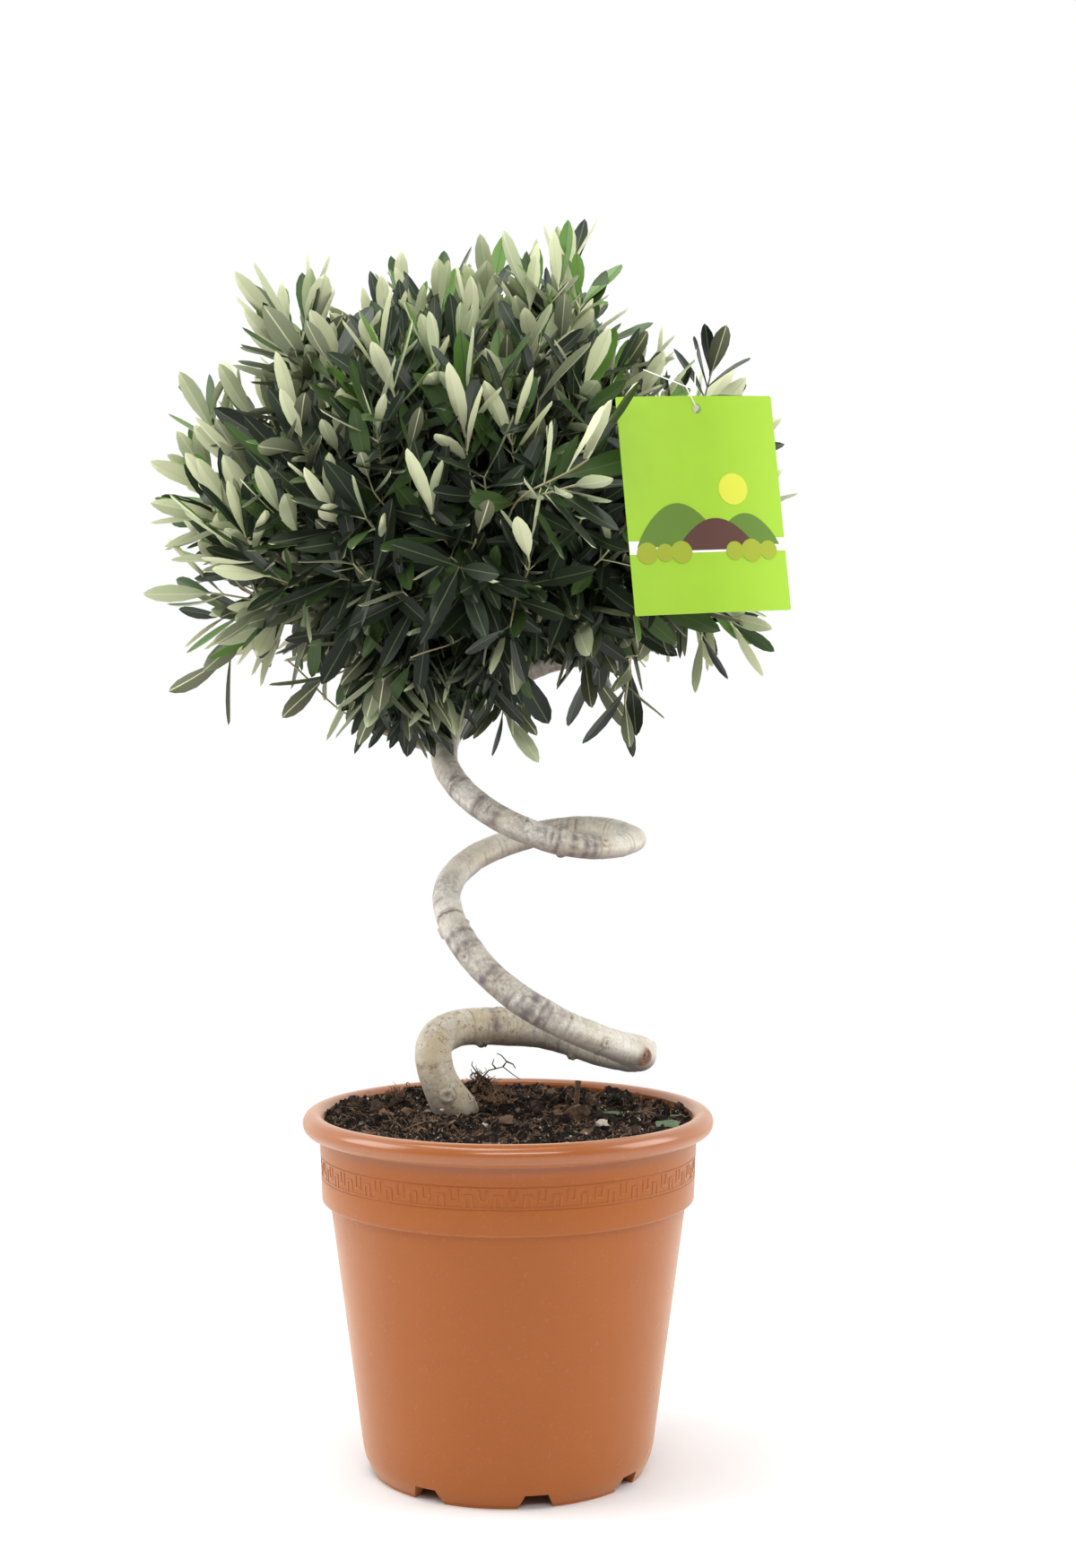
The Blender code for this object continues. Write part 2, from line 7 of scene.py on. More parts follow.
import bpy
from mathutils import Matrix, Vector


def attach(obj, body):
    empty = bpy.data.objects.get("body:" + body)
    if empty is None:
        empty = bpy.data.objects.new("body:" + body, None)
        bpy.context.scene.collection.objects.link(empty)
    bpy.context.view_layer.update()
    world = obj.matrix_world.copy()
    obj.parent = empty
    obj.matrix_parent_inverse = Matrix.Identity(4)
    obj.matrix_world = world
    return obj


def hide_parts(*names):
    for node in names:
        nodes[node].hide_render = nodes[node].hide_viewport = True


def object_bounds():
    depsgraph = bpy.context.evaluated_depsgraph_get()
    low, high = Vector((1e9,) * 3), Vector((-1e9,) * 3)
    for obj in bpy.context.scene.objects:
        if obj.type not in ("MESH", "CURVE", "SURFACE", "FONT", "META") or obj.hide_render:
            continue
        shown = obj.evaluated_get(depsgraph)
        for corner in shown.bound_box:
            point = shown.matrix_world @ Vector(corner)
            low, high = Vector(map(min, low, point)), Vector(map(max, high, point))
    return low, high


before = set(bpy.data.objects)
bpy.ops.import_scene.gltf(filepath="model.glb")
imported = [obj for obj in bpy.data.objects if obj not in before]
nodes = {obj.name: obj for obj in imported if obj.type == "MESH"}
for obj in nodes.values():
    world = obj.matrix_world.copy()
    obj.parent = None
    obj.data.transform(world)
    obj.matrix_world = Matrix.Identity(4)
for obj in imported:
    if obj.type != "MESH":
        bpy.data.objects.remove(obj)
cad_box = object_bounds()
print("nodes:", len(nodes), "height:", round(cad_box[1].z, 3))

# %% [markdown]
# Three small habits come back all through the lesson. A new object is added with nothing else selected,
# because an operator acts on all that is selected. A shader node is added together with what feeds it. And
# a value is kept between two limits.

# %% Tools that the lesson needs
import math

import bmesh
import bpy
import numpy as np
from mathutils import Matrix, Vector, noise

SEED = 2026
MM = 0.001
UP = Vector((0.0, 0.0, 1.0))
random = np.random.default_rng(SEED)


def clamped(value, low=0.0, high=1.0):
    return min(high, max(low, value))


def add_object(operator, location=(0.0, 0.0, 0.0), **settings):
    """Add one of Blender's ready objects with nothing else selected, and return it."""
    bpy.ops.object.select_all(action="DESELECT")
    operator(location=location, **settings)
    return bpy.context.active_object


def add_node(tree, kind, inputs=(), **settings):
    """A new shader node with its settings. An input takes a plain value or another node's output."""
    made = tree.nodes.new("ShaderNode" + kind)
    for label, value in settings.items():
        setattr(made, label, value)
    for socket, value in dict(inputs).items():
        if isinstance(value, bpy.types.NodeSocket):
            tree.links.new(value, made.inputs[socket])
        else:
            made.inputs[socket].default_value = value
    return made


print("Blender", bpy.app.version_string, "seed", SEED)

# %% [markdown]
# ## The camera
# The picture is taken from straight in front, a little above the middle of the tree and almost level. A
# lens could be guessed by trial, but the ellipses of the pot's rim and foot gave the distance, the height
# and the focal length. The focal length is a share of the picture's long side, because Blender's sensor
# width belongs to that side.

# %% Place the camera
CAMERA_PLACE = Vector((0.0, -1.815, 0.589))
CAMERA_PITCH = 0.0303
CAMERA_YAW = 0.0128
PHOTO_WIDTH = 1200
PHOTO_HEIGHT = 1749
FOCAL_PIXELS = 2600
SENSOR = 36.0

rotation = (math.pi / 2 - CAMERA_PITCH, 0.0, -CAMERA_YAW)
camera = add_object(bpy.ops.object.camera_add, CAMERA_PLACE, rotation=rotation)
camera.data.sensor_width = SENSOR
camera.data.lens = SENSOR * FOCAL_PIXELS / PHOTO_HEIGHT
bpy.context.scene.camera = camera
camera_turn = camera.rotation_euler.to_matrix()
print("lens:", round(camera.data.lens, 2), "mm")


def seen_at(points):
    """Where points of the model fall in the photograph, in its pixels."""
    local = (points - np.array(CAMERA_PLACE)) @ np.array(camera_turn)
    across = PHOTO_WIDTH / 2 + FOCAL_PIXELS * local[:, 0] / -local[:, 2]
    down = PHOTO_HEIGHT / 2 - FOCAL_PIXELS * local[:, 1] / -local[:, 2]
    return across, down


def point_seen_at(across, down, depth):
    """The point of the model behind a pixel of the photograph, at this distance along +Y."""
    local = Vector((across - PHOTO_WIDTH / 2, PHOTO_HEIGHT / 2 - down, -FOCAL_PIXELS))
    ray = camera_turn @ local
    return CAMERA_PLACE + ray * ((depth - CAMERA_PLACE.y) / ray.y)


# %% [markdown]
# ## Floor and light
# The tree stands in a white studio. A curved backdrop would hide the tree from behind, so the floor is one
# wide disc that fades into the white world at its edge. Much of the light comes from that white world, as
# in a light tent, more from behind than from the front. Four soft boxes give it direction: one on each
# side, one above, and a weaker one in front.

# %% Make the floor and the lights
FLOOR_RADIUS = 9.0
FLOOR_SIDES = 96
FLOOR_FADE = (0.45, 1.5)
FLOOR_WHITE = 0.84
WORLD_WHITE = 1.0
WORLD_FRONT = 0.18
WORLD_BACK = 1.40
SOFT_BOXES = {
    "left_box": ((-2.0, -0.15, 1.4), 1.4, 1.4, 25.0),
    "right_box": ((2.1, -0.15, 1.3), 1.4, 1.4, 24.5),
    "top_box": ((-0.3, -0.2, 2.6), 1.5, 1.5, 38.0),
    "front_box": ((0.20, -2.0, 1.6), 1.8, 0.50, 19.0),
}
LIGHT_TARGET = Vector((0.0, 0.0, 0.5))

bpy.context.scene.view_settings.view_transform = "Standard"
circle = bpy.ops.mesh.primitive_circle_add
floor = add_object(circle, vertices=FLOOR_SIDES, radius=FLOOR_RADIUS, fill_type="NGON")
floor.name = "studio_floor"


def soft_box(name, place, width, height, power):
    """A flat area light that looks at the middle of the tree."""
    lamp = add_object(bpy.ops.object.light_add, place, type="AREA")
    lamp.name = name
    lamp.data.shape = "RECTANGLE"
    lamp.data.size = width
    lamp.data.size_y = height
    lamp.data.energy = power
    lamp.rotation_euler = (LIGHT_TARGET - Vector(place)).to_track_quat("-Z", "Y").to_euler()


for box_name, box_values in SOFT_BOXES.items():
    soft_box(box_name, *box_values)


def light_tent():
    """A world that lights the tree more from behind than from the front, and looks plain white itself."""
    tent = bpy.data.worlds.new("white_studio")
    tent.use_nodes = True
    tree = tent.node_tree
    background = tree.nodes["Background"]
    background.inputs["Color"].default_value = (1.0, 1.0, 1.0, 1.0)
    place = add_node(tree, "TexCoord").outputs["Generated"]
    depth = add_node(tree, "SeparateXYZ", {"Vector": place}).outputs["Y"]
    limits = {"Value": depth, "From Min": -1.0, "To Min": WORLD_FRONT, "To Max": WORLD_BACK}
    shade = add_node(tree, "MapRange", limits).outputs["Result"]
    seen = add_node(tree, "LightPath").outputs["Is Camera Ray"]
    choice = add_node(tree, "Mix", {"Factor": seen, 2: shade, 3: WORLD_WHITE})
    tree.links.new(choice.outputs["Result"], background.inputs["Strength"])
    return tent


bpy.context.scene.world = light_tent()
print("soft boxes:", len(SOFT_BOXES))

# %% [markdown]
# ## Finishes as small recipes
# Every finish is one Principled shader with a few layers of colour and relief on it. Nearly every layer
# needs soft patches, so the mottle, noise that is cut between two limits, is a node group: built once, and
# placed with other numbers in each material. It reads Object coordinates, so the pattern stays on the
# piece.

# %% Build the mottle group
def build_mottle():
    """A group that gives soft patches of noise between 0 and 1 on Object coordinates."""
    group = bpy.data.node_groups.new("mottle", "ShaderNodeTree")
    numbers = {"Scale": 10.0, "Detail": 3.0, "Roughness": 0.55, "Low": 0.4, "High": 0.6}
    for label, value in numbers.items():
        socket = group.interface.new_socket(label, in_out="INPUT", socket_type="NodeSocketFloat")
        socket.default_value = value
    stretch = group.interface.new_socket("Stretch", in_out="INPUT", socket_type="NodeSocketVector")
    stretch.default_value = (1.0, 1.0, 1.0)
    group.interface.new_socket("Mask", in_out="OUTPUT", socket_type="NodeSocketFloat")
    given = group.nodes.new("NodeGroupInput").outputs
    place = add_node(group, "TexCoord").outputs["Object"]
    scaled = add_node(group, "VectorMath", {0: place, 1: given["Stretch"]}, operation="MULTIPLY")
    grain_inputs = {label: given[label] for label in ("Scale", "Detail", "Roughness")}
    pattern = add_node(group, "TexNoise", {"Vector": scaled.outputs["Vector"], **grain_inputs})
    limits = {"Value": pattern.outputs["Fac"], "From Min": given["Low"], "From Max": given["High"]}
    mask = add_node(group, "MapRange", limits).outputs["Result"]
    group.links.new(mask, group.nodes.new("NodeGroupOutput").inputs["Mask"])
    return group


mottle_group = build_mottle()
print("mottle nodes:", len(mottle_group.nodes))

# %% [markdown]
# Writing out each node tree would hide the recipe, so helpers do the wiring: `start_finish` makes the
# shader, `mottle` gives a patchy mask, `mask_from` reads one from the mesh, `ramp` and `both` shape masks,
# `paint` lays a colour through a mask, `relief` turns a mask into bumps, and `feed` lets one input follow a
# value.

# %% Write the wiring helpers
def shader_of(material):
    return material.node_tree.nodes["Principled BSDF"]


def start_finish(name, colour, roughness, **plain):
    """A material with one Principled shader; extra plain values are given by their socket's name."""
    material = bpy.data.materials.new(name)
    material.use_nodes = True
    material.diffuse_color = (*colour, 1.0)
    values = {"Base Color": (*colour, 1.0), "Roughness": roughness, **plain}
    for label, value in values.items():
        shader_of(material).inputs[label.replace("_", " ")].default_value = value
    return material


def mottle(material, scale, low, high, detail=3.0, roughness=0.55, stretch=(1.0, 1.0, 1.0)):
    """Place the mottle group in a material and return its mask."""
    values = {"Scale": scale, "Low": low, "High": high, "Detail": detail, "Roughness": roughness}
    values["Stretch"] = stretch
    return add_node(material.node_tree, "Group", values, node_tree=mottle_group).outputs["Mask"]


def paint(material, mask, colour, amount):
    """Lay a colour over what the shader has so far, where the mask is bright."""
    tree = material.node_tree
    base = shader_of(material).inputs["Base Color"]
    below = base.links[0].from_socket if base.is_linked else base.default_value
    strength = add_node(tree, "Math", {0: mask, 1: amount}, operation="MULTIPLY").outputs["Value"]
    layers = {"Factor": strength, 6: below, 7: (*colour, 1.0)}
    tree.links.new(add_node(tree, "Mix", layers, data_type="RGBA").outputs[2], base)


def relief(material, mask, height, strength):
    """Raise the surface by this height in metres where the mask is bright."""
    tree = material.node_tree
    normal = shader_of(material).inputs["Normal"]
    inputs = {"Height": mask, "Distance": height, "Strength": strength}
    if normal.is_linked:
        inputs["Normal"] = normal.links[0].from_socket
    tree.links.new(add_node(tree, "Bump", inputs).outputs["Normal"], normal)


def feed(material, label, value):
    """Let one input of the shader follow a value that changes over the surface."""
    material.node_tree.links.new(value, shader_of(material).inputs[label])


def mask_from(material, name):
    """A mask that was written into the mesh, point by point."""
    return add_node(material.node_tree, "Attribute", attribute_name=name).outputs["Fac"]


def both(material, first, second):
    """A mask that is strong only where two masks both are."""
    return add_node(material.node_tree, "Math", {0: first, 1: second}, operation="MULTIPLY").outputs["Value"]


def ramp(material, value, start, end, low=0.0, high=1.0):
    """A mask that goes from low to high while a value goes from start to end."""
    limits = {"Value": value, "From Min": start, "From Max": end, "To Min": low, "To Max": high}
    return add_node(material.node_tree, "MapRange", limits).outputs["Result"]


def place_along(material, axis):
    """The point's own X, Y or Z on the object."""
    place = add_node(material.node_tree, "TexCoord").outputs["Object"]
    return add_node(material.node_tree, "SeparateXYZ", {"Vector": place}).outputs[axis]


# %% [markdown]
# The first finish is the floor's. Near the pot it is matt white and takes a soft shadow. Further out it
# fades into the plain white of the world, so that no edge shows.

# %% Finish the floor
def floor_finish():
    """Matt white near the pot, and as bright as the world further out."""
    material = start_finish("studio_white", (FLOOR_WHITE,) * 3, 0.9)
    tree = material.node_tree
    place = add_node(tree, "TexCoord").outputs["Object"]
    far = add_node(tree, "VectorMath", {0: place}, operation="LENGTH").outputs["Value"]
    limits = {"Value": far, "From Min": FLOOR_FADE[0], "From Max": FLOOR_FADE[1]}
    fade = add_node(tree, "MapRange", limits, interpolation_type="SMOOTHSTEP").outputs["Result"]
    glow = add_node(tree, "Emission", {"Strength": WORLD_WHITE}).outputs["Emission"]
    blend = add_node(tree, "MixShader", {"Fac": fade, 1: shader_of(material).outputs["BSDF"], 2: glow})
    tree.links.new(blend.outputs["Shader"], tree.nodes["Material Output"].inputs["Surface"])
    return material


floor.data.materials.append(floor_finish())
print("materials so far:", len(bpy.data.materials))

# %% [markdown]
# ## Hands on a mesh
# Modelling by hand in Blender is a row of small steps: add a shape, go into edit mode, pick some points or
# faces, and move, extrude or scale them. The helpers below are those habits in code.

# %% Write the modelling helpers
def pick(obj):
    """Make one object the only selected one."""
    bpy.ops.object.select_all(action="DESELECT")
    obj.select_set(True)
    bpy.context.view_layer.objects.active = obj


def edit_on():
    bpy.ops.object.mode_set(mode="EDIT")


def edit_off():
    bpy.ops.object.mode_set(mode="OBJECT")


def pick_all():
    """In edit mode, select every point."""
    bpy.ops.mesh.select_all(action="SELECT")


def extrude(step):
    """In edit mode, extrude what is selected by a step."""
    bpy.ops.mesh.extrude_region_move(TRANSFORM_OT_translate={"value": step})


def select_points(test):
    """In edit mode, select exactly the points for which the test holds."""
    mesh = bpy.context.edit_object.data
    bm = bmesh.from_edit_mesh(mesh)
    bm.select_mode = {"VERT"}
    for vert in bm.verts:
        vert.select = test(vert)
    bm.select_flush_mode()
    bmesh.update_edit_mesh(mesh)


def draw_line(points):
    """A new object: one vertex that is extruded from point to point. It stays in edit mode."""
    line = add_object(bpy.ops.mesh.primitive_plane_add, size=MM)
    edit_on()
    pick_all()
    bpy.ops.mesh.merge(type="CENTER")
    bpy.ops.transform.translate(value=points[0])
    for before, after in zip(points, points[1:]):
        extrude(Vector(after) - Vector(before))
    return line


def tidy_mesh(distance=0.00001):
    """Merge doubled points and let all faces look outwards."""
    pick_all()
    bpy.ops.mesh.remove_doubles(threshold=distance)
    bpy.ops.mesh.normals_make_consistent(inside=False)


def face_outwards(obj):
    """Let all faces of an object look outwards."""
    pick(obj)
    edit_on()
    pick_all()
    bpy.ops.mesh.normals_make_consistent(inside=False)
    edit_off()


def apply_place(obj):
    """Put an object's place, turn and size into its mesh."""
    pick(obj)
    bpy.ops.object.transform_apply(location=True, rotation=True, scale=True)


def apply_modifier(obj, kind, **settings):
    """Add a modifier, give it its settings and apply it."""
    pick(obj)
    modifier = obj.modifiers.new(kind.lower(), kind)
    for label, value in settings.items():
        setattr(modifier, label, value)
    bpy.ops.object.modifier_apply(modifier=modifier.name)


def read(elements, label, width=1, kind=np.int32):
    """One value, or a row of values, of each point, corner or face of a mesh."""
    values = np.empty(len(elements) * width, dtype=kind)
    elements.foreach_get(label, values)
    return values


def finish_piece(obj, name, materials, smooth_angle, replaced=()):
    """Name a piece, give it its finish, tie it to its body, and hide the CAD nodes that it replaces."""
    obj.name = name
    obj.data.name = name
    numbers = read(obj.data.polygons, "material_index")
    obj.data.materials.clear()
    for material in materials:
        obj.data.materials.append(material)
    obj.data.polygons.foreach_set("material_index", numbers.clip(0, len(materials) - 1))
    pick(obj)
    bpy.ops.object.shade_smooth_by_angle(angle=math.radians(smooth_angle))
    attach(obj, "root")
    if replaced:
        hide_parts(*replaced)
    print(name, "triangles:", int((read(obj.data.polygons, "loop_total") - 2).sum()))


# %% [markdown]
# ## The pot
# A nursery pot is moulded plastic: one wall, a rolled rim to carry it by, a straight band under it, and a
# foot ring with notches that let water out. It could be stacked from cylinders, but one outline turned
# round the axis gives every step, groove and rounding in one skin. The corners get small arcs, because
# moulded plastic has no knife edges and the light runs along those arcs.

# %% Draw the pot's outline
POT_TURN_STEPS = 168
WALL = 0.0025
BAND_FOOT = (0.145, 0.2115)
BAND_TOP = (0.147, 0.263)
BODY_TOP = (0.1385, 0.209)
BODY_FOOT = (0.113, 0.014)
FOOT_RING = (0.099, 0.1064)
FOOT_LIP = 0.003
CHANNEL = (0.073, 0.097, 0.013)
BASE_DISC = 0.070
POT_FLOOR = 0.003
RIM_CENTRE = (0.1515, 0.2715)
RIM_THICKNESS = 0.0085
RIM_INNER_EDGE = 0.2695
RIM_ARC = (150, -115)
KEY_BOTTOM = 0.2313
KEY_TOP = 0.2470
KEY_DEPTH = 0.00055
BORDER_HEIGHT = 0.0014
GROOVE_WIDTH = 0.0010


def band_radius(height):
    """The band leans out a little: its radius at this height."""
    share = (height - BAND_FOOT[1]) / (BAND_TOP[1] - BAND_FOOT[1])
    return BAND_FOOT[0] + (BAND_TOP[0] - BAND_FOOT[0]) * share


def rounded(corners):
    """Turn each corner (distance, height, rounding) that is rounded into a curve of five points."""
    outline = []
    for index, (distance, height, rounding) in enumerate(corners):
        here = Vector((distance, height))
        if rounding == 0 or index in (0, len(corners) - 1):
            outline.append(here)
            continue
        before = Vector(corners[index - 1][:2]) - here
        after = Vector(corners[index + 1][:2]) - here
        start = here + before.normalized() * min(rounding, before.length * 0.45)
        end = here + after.normalized() * min(rounding, after.length * 0.45)
        for share in (0.0, 0.25, 0.5, 0.75, 1.0):
            outline.append(start.lerp(here, share).lerp(here.lerp(end, share), share))
    return outline


def rim_arc():
    """The rolled rim, from its inner edge over the top to its underside."""
    corners = []
    for angle in np.radians(np.linspace(*RIM_ARC, 18)):
        distance = RIM_CENTRE[0] + RIM_THICKNESS * math.cos(angle)
        corners.append((distance, RIM_CENTRE[1] + RIM_THICKNESS * math.sin(angle), 0))
    return corners


def key_frame_corners():
    """The sunk strip of the band with a raised border along its top and its bottom."""
    steps = [
        (KEY_TOP + GROOVE_WIDTH, 0),
        (KEY_TOP + GROOVE_WIDTH, 1),
        (KEY_TOP, 1),
        (KEY_TOP, 0.15),
        (KEY_TOP - BORDER_HEIGHT, 0.15),
        (KEY_TOP - BORDER_HEIGHT, 1),
        (KEY_BOTTOM + BORDER_HEIGHT, 1),
        (KEY_BOTTOM + BORDER_HEIGHT, 0.15),
        (KEY_BOTTOM, 0.15),
        (KEY_BOTTOM, 1),
        (KEY_BOTTOM - GROOVE_WIDTH, 1),
        (KEY_BOTTOM - GROOVE_WIDTH, 0),
    ]
    return [(band_radius(height) - KEY_DEPTH * sunk, height, 0.00025) for height, sunk in steps]


def pot_outline():
    slope = (BODY_TOP[0] - BODY_FOOT[0]) / (BODY_TOP[1] - BODY_FOOT[1])
    low = BODY_FOOT[1] + POT_FLOOR + 0.006
    low_radius = BODY_FOOT[0] + slope * (low - BODY_FOOT[1]) - WALL
    inner_top = BAND_TOP[0] - WALL
    corners = [
        (0.0, POT_FLOOR, 0),
        (BASE_DISC - WALL, POT_FLOOR, 0.002),
        (CHANNEL[0] - WALL, CHANNEL[2] + POT_FLOOR, 0.002),
        (CHANNEL[1] + WALL, CHANNEL[2] + POT_FLOOR, 0.004),
        (low_radius, low, 0.006),
        (BODY_TOP[0] - WALL, BODY_TOP[1], 0.002),
        (BAND_FOOT[0] - WALL, BAND_FOOT[1], 0.002),
        (inner_top - 0.0008, 0.2640, 0),
        (inner_top, 0.2646, 0),
        (inner_top, RIM_INNER_EDGE, 0),
        *rim_arc(),
        (BAND_TOP[0], RIM_CENTRE[1] - RIM_THICKNESS - 0.0008, 0.0008),
        (band_radius(0.2605), 0.2605, 0.0004),
        *key_frame_corners(),
        (*BAND_FOOT, 0.0016),
        (BODY_TOP[0] + 0.0006, BODY_TOP[1] + 0.0010, 0.0012),
        (BODY_TOP[0] - 0.0004, BODY_TOP[1] - 0.0040, 0.0015),
        (*BODY_FOOT, 0.010),
        (FOOT_RING[1] + 0.0016, FOOT_LIP + 0.0004, 0.0014),
        (FOOT_RING[1] + 0.0003, FOOT_LIP - 0.0004, 0.0005),
        (FOOT_RING[1], 0.0, 0.0008),
        (FOOT_RING[0], 0.0, 0.0008),
        (CHANNEL[1], CHANNEL[2], 0.002),
        (CHANNEL[0], CHANNEL[2], 0.002),
        (BASE_DISC, 0.0, 0.001),
        (0.0, 0.0, 0),
    ]
    return [(point.x, 0.0, point.y) for point in rounded(corners)]


# %% [markdown]
# The outline is one row of points, and spinning it once round the upright axis makes the skin. The ends lie
# on the axis, so the doubled points there are merged and the pot closes by itself.

# %% Turn the outline into the pot
pot = draw_line(pot_outline())
pick_all()
bpy.ops.mesh.spin(steps=POT_TURN_STEPS, angle=math.tau, center=(0.0, 0.0, 0.0), axis=(0.0, 0.0, 1.0))
tidy_mesh()
edit_off()
print("pot outline points:", len(pot_outline()))

# %% [markdown]
# The eight notches are cut by one block with sloping sides, copied round the foot. A Boolean modifier takes
# them away, which keeps the edges crisp, as in the mould.

# %% Cut the notches
NOTCHES = 8
NOTCH_FIRST = math.radians(-90 + 11)
NOTCH_TOP_WIDTH = 0.018
NOTCH_BOTTOM_WIDTH = 0.031
NOTCH_HEIGHT = 0.0112
NOTCH_INNER = 0.085
NOTCH_OUTER = 0.121
NOTCH_BELOW = 0.004


def notch_block(angle):
    """A block across the foot ring, wider at the floor than at its top."""
    height = NOTCH_HEIGHT + NOTCH_BELOW
    middle = (NOTCH_INNER + NOTCH_OUTER) / 2
    block = add_object(bpy.ops.mesh.primitive_cube_add, (middle, 0.0, NOTCH_HEIGHT - height / 2), size=1.0)
    edit_on()
    pick_all()
    bpy.ops.transform.resize(value=(NOTCH_OUTER - NOTCH_INNER, NOTCH_TOP_WIDTH, height))
    select_points(lambda vert: vert.co.z < 0)
    bpy.ops.transform.resize(value=(1.0, NOTCH_BOTTOM_WIDTH / NOTCH_TOP_WIDTH, 1.0))
    edit_off()
    block.data.transform(Matrix.Rotation(angle, 4, "Z") @ Matrix.Translation(block.location))
    block.location = (0.0, 0.0, 0.0)
    return block


blocks = [notch_block(NOTCH_FIRST + index * math.tau / NOTCHES) for index in range(NOTCHES)]
pick(blocks[0])
for block in blocks:
    block.select_set(True)
bpy.ops.object.join()
notch_cutter = bpy.context.active_object
apply_modifier(pot, "BOOLEAN", operation="DIFFERENCE", solver="EXACT", object=notch_cutter)
bpy.data.objects.remove(notch_cutter)
print("pot faces after the cut:", len(pot.data.polygons))

# %% [markdown]
# ## The pot's finish
# Terracotta-coloured plastic is evenly dyed but never perfectly even: it is lighter in patches, a little
# dusty, and its satin skin breaks the light unevenly. All those layers are faint. The rolled rim is
# smoother than the rest and gets a clear coat, and towards the pot's sides, where one looks along the skin,
# the shine is turned down, because the picture shows it dull there.

# %% Mix the plastic
PLASTIC = (0.345, 0.094, 0.0150)
PLASTIC_WARM = (0.370, 0.107, 0.020)
PLASTIC_DULL = (0.318, 0.085, 0.0135)
DUST = (0.55, 0.28, 0.15)
RIM_POLISH = (0.252, 0.262)


def plastic_finish():
    material = start_finish(
        "pot_plastic",
        PLASTIC,
        0.30,
        Coat_Roughness=0.20,
        Sheen_Weight=0.42,
        Sheen_Roughness=0.45,
        Sheen_Tint=(1.0, 0.74, 0.50, 1.0),
    )
    paint(material, mottle(material, 7.0, 0.35, 0.65, detail=2.0), PLASTIC_WARM, 0.45)
    paint(material, mottle(material, 18.0, 0.45, 0.75, stretch=(1.0, 1.0, 0.35)), PLASTIC_DULL, 0.35)
    paint(material, mottle(material, 420.0, 0.60, 0.78, detail=2.0), DUST, 0.16)
    patches = mottle(material, 60.0, 0.35, 0.7, detail=4.0)
    feed(material, "Roughness", ramp(material, patches, 0.0, 1.0, 0.22, 0.28))
    relief(material, mottle(material, 30.0, 0.3, 0.7, detail=1.0), 0.00010, 0.04)
    relief(material, mottle(material, 1300.0, 0.3, 0.7, detail=1.0), 0.00003, 0.35)
    slant = add_node(material.node_tree, "LayerWeight").outputs["Facing"]
    polish = ramp(material, place_along(material, "Z"), *RIM_POLISH)
    feed(material, "Coat Weight", both(material, polish, ramp(material, slant, 0.30, 0.85, 1.0, 0.08)))
    feed(material, "Specular IOR Level", ramp(material, slant, 0.45, 0.95, 0.26, 0.04))
    return material


plastic = plastic_finish()
finish_piece(pot, "pot_shell", [plastic], replaced=("pot",), smooth_angle=32)

# %% [markdown]
# ## The meander on the band
# The band carries a Greek key: hooks that stand on the lower border take turns with hooks that hang from
# the upper one. It stands out by about a third of a millimetre, so it could be painted as a bump, but then
# it would vanish at the pot's edge. One hook is modelled, bevelled, and bent round the band in forty-two
# pairs, standing and hanging.

# %% Model one hook and set it round the band
KEY_PAIRS = 42
HOOK_WIDTH = 0.0072
HOOK_HEIGHT = 0.0094
HOOK_STROKE = 0.0019
HOOK_RISE = 0.00036
HOOK_SUNK = 0.0005
HOOK_ROUNDING = 0.00022


def hook():
    """An arch of three strokes, flat, with its feet on Z = 0 and its front towards +Y."""
    inner, top = HOOK_WIDTH - HOOK_STROKE, HOOK_HEIGHT - HOOK_STROKE
    outside = [(0.0, 0.0), (0.0, HOOK_HEIGHT), (HOOK_WIDTH, HOOK_HEIGHT), (HOOK_WIDTH, 0.0)]
    inside = [(inner, 0.0), (inner, top), (HOOK_STROKE, top), (HOOK_STROKE, 0.0)]
    shape = draw_line([(across, -HOOK_SUNK, up) for across, up in outside + inside])
    pick_all()
    bpy.ops.mesh.edge_face_add()
    extrude((0.0, HOOK_SUNK + HOOK_RISE, 0.0))
    bpy.ops.mesh.bevel(offset=HOOK_ROUNDING, segments=2, affect="EDGES")
    tidy_mesh(0.000001)
    edit_off()
    return shape


def mesh_arrays(obj):
    """A mesh as arrays: points, corners of its faces, corners per face, and material numbers."""
    mesh = obj.data
    points = read(mesh.vertices, "co", 3, float).reshape(-1, 3)
    faces = mesh.polygons
    return points, read(mesh.loops, "vertex_index"), read(faces, "loop_total"), read(faces, "material_index")


def taken_arrays(obj):
    """The arrays of a mesh whose object isn't needed any more."""
    arrays = mesh_arrays(obj)
    bpy.data.objects.remove(obj)
    return arrays


def mesh_object(name, parts):
    """Join parts, each (points, corners, sizes, material numbers), into one mesh object."""
    offsets = np.cumsum([0] + [len(part[0]) for part in parts])
    points = np.concatenate([part[0] for part in parts])
    corners = np.concatenate([np.asarray(part[1]) + offset for part, offset in zip(parts, offsets)])
    sizes = np.concatenate([part[2] for part in parts])
    numbers = np.concatenate([part[3] for part in parts])
    mesh = bpy.data.meshes.new(name)
    mesh.vertices.add(len(points))
    mesh.vertices.foreach_set("co", points.astype(np.float32).ravel())
    mesh.loops.add(len(corners))
    mesh.loops.foreach_set("vertex_index", corners.astype(np.int32))
    mesh.polygons.add(len(sizes))
    mesh.polygons.foreach_set("loop_start", (np.cumsum(sizes) - sizes).astype(np.int32))
    mesh.polygons.foreach_set("material_index", numbers.astype(np.int32))
    mesh.polygons.foreach_set("use_smooth", np.ones(len(sizes), dtype=bool))
    mesh.update(calc_edges=True)
    mesh.validate()
    obj = bpy.data.objects.new(name, mesh)
    bpy.context.collection.objects.link(obj)
    return obj


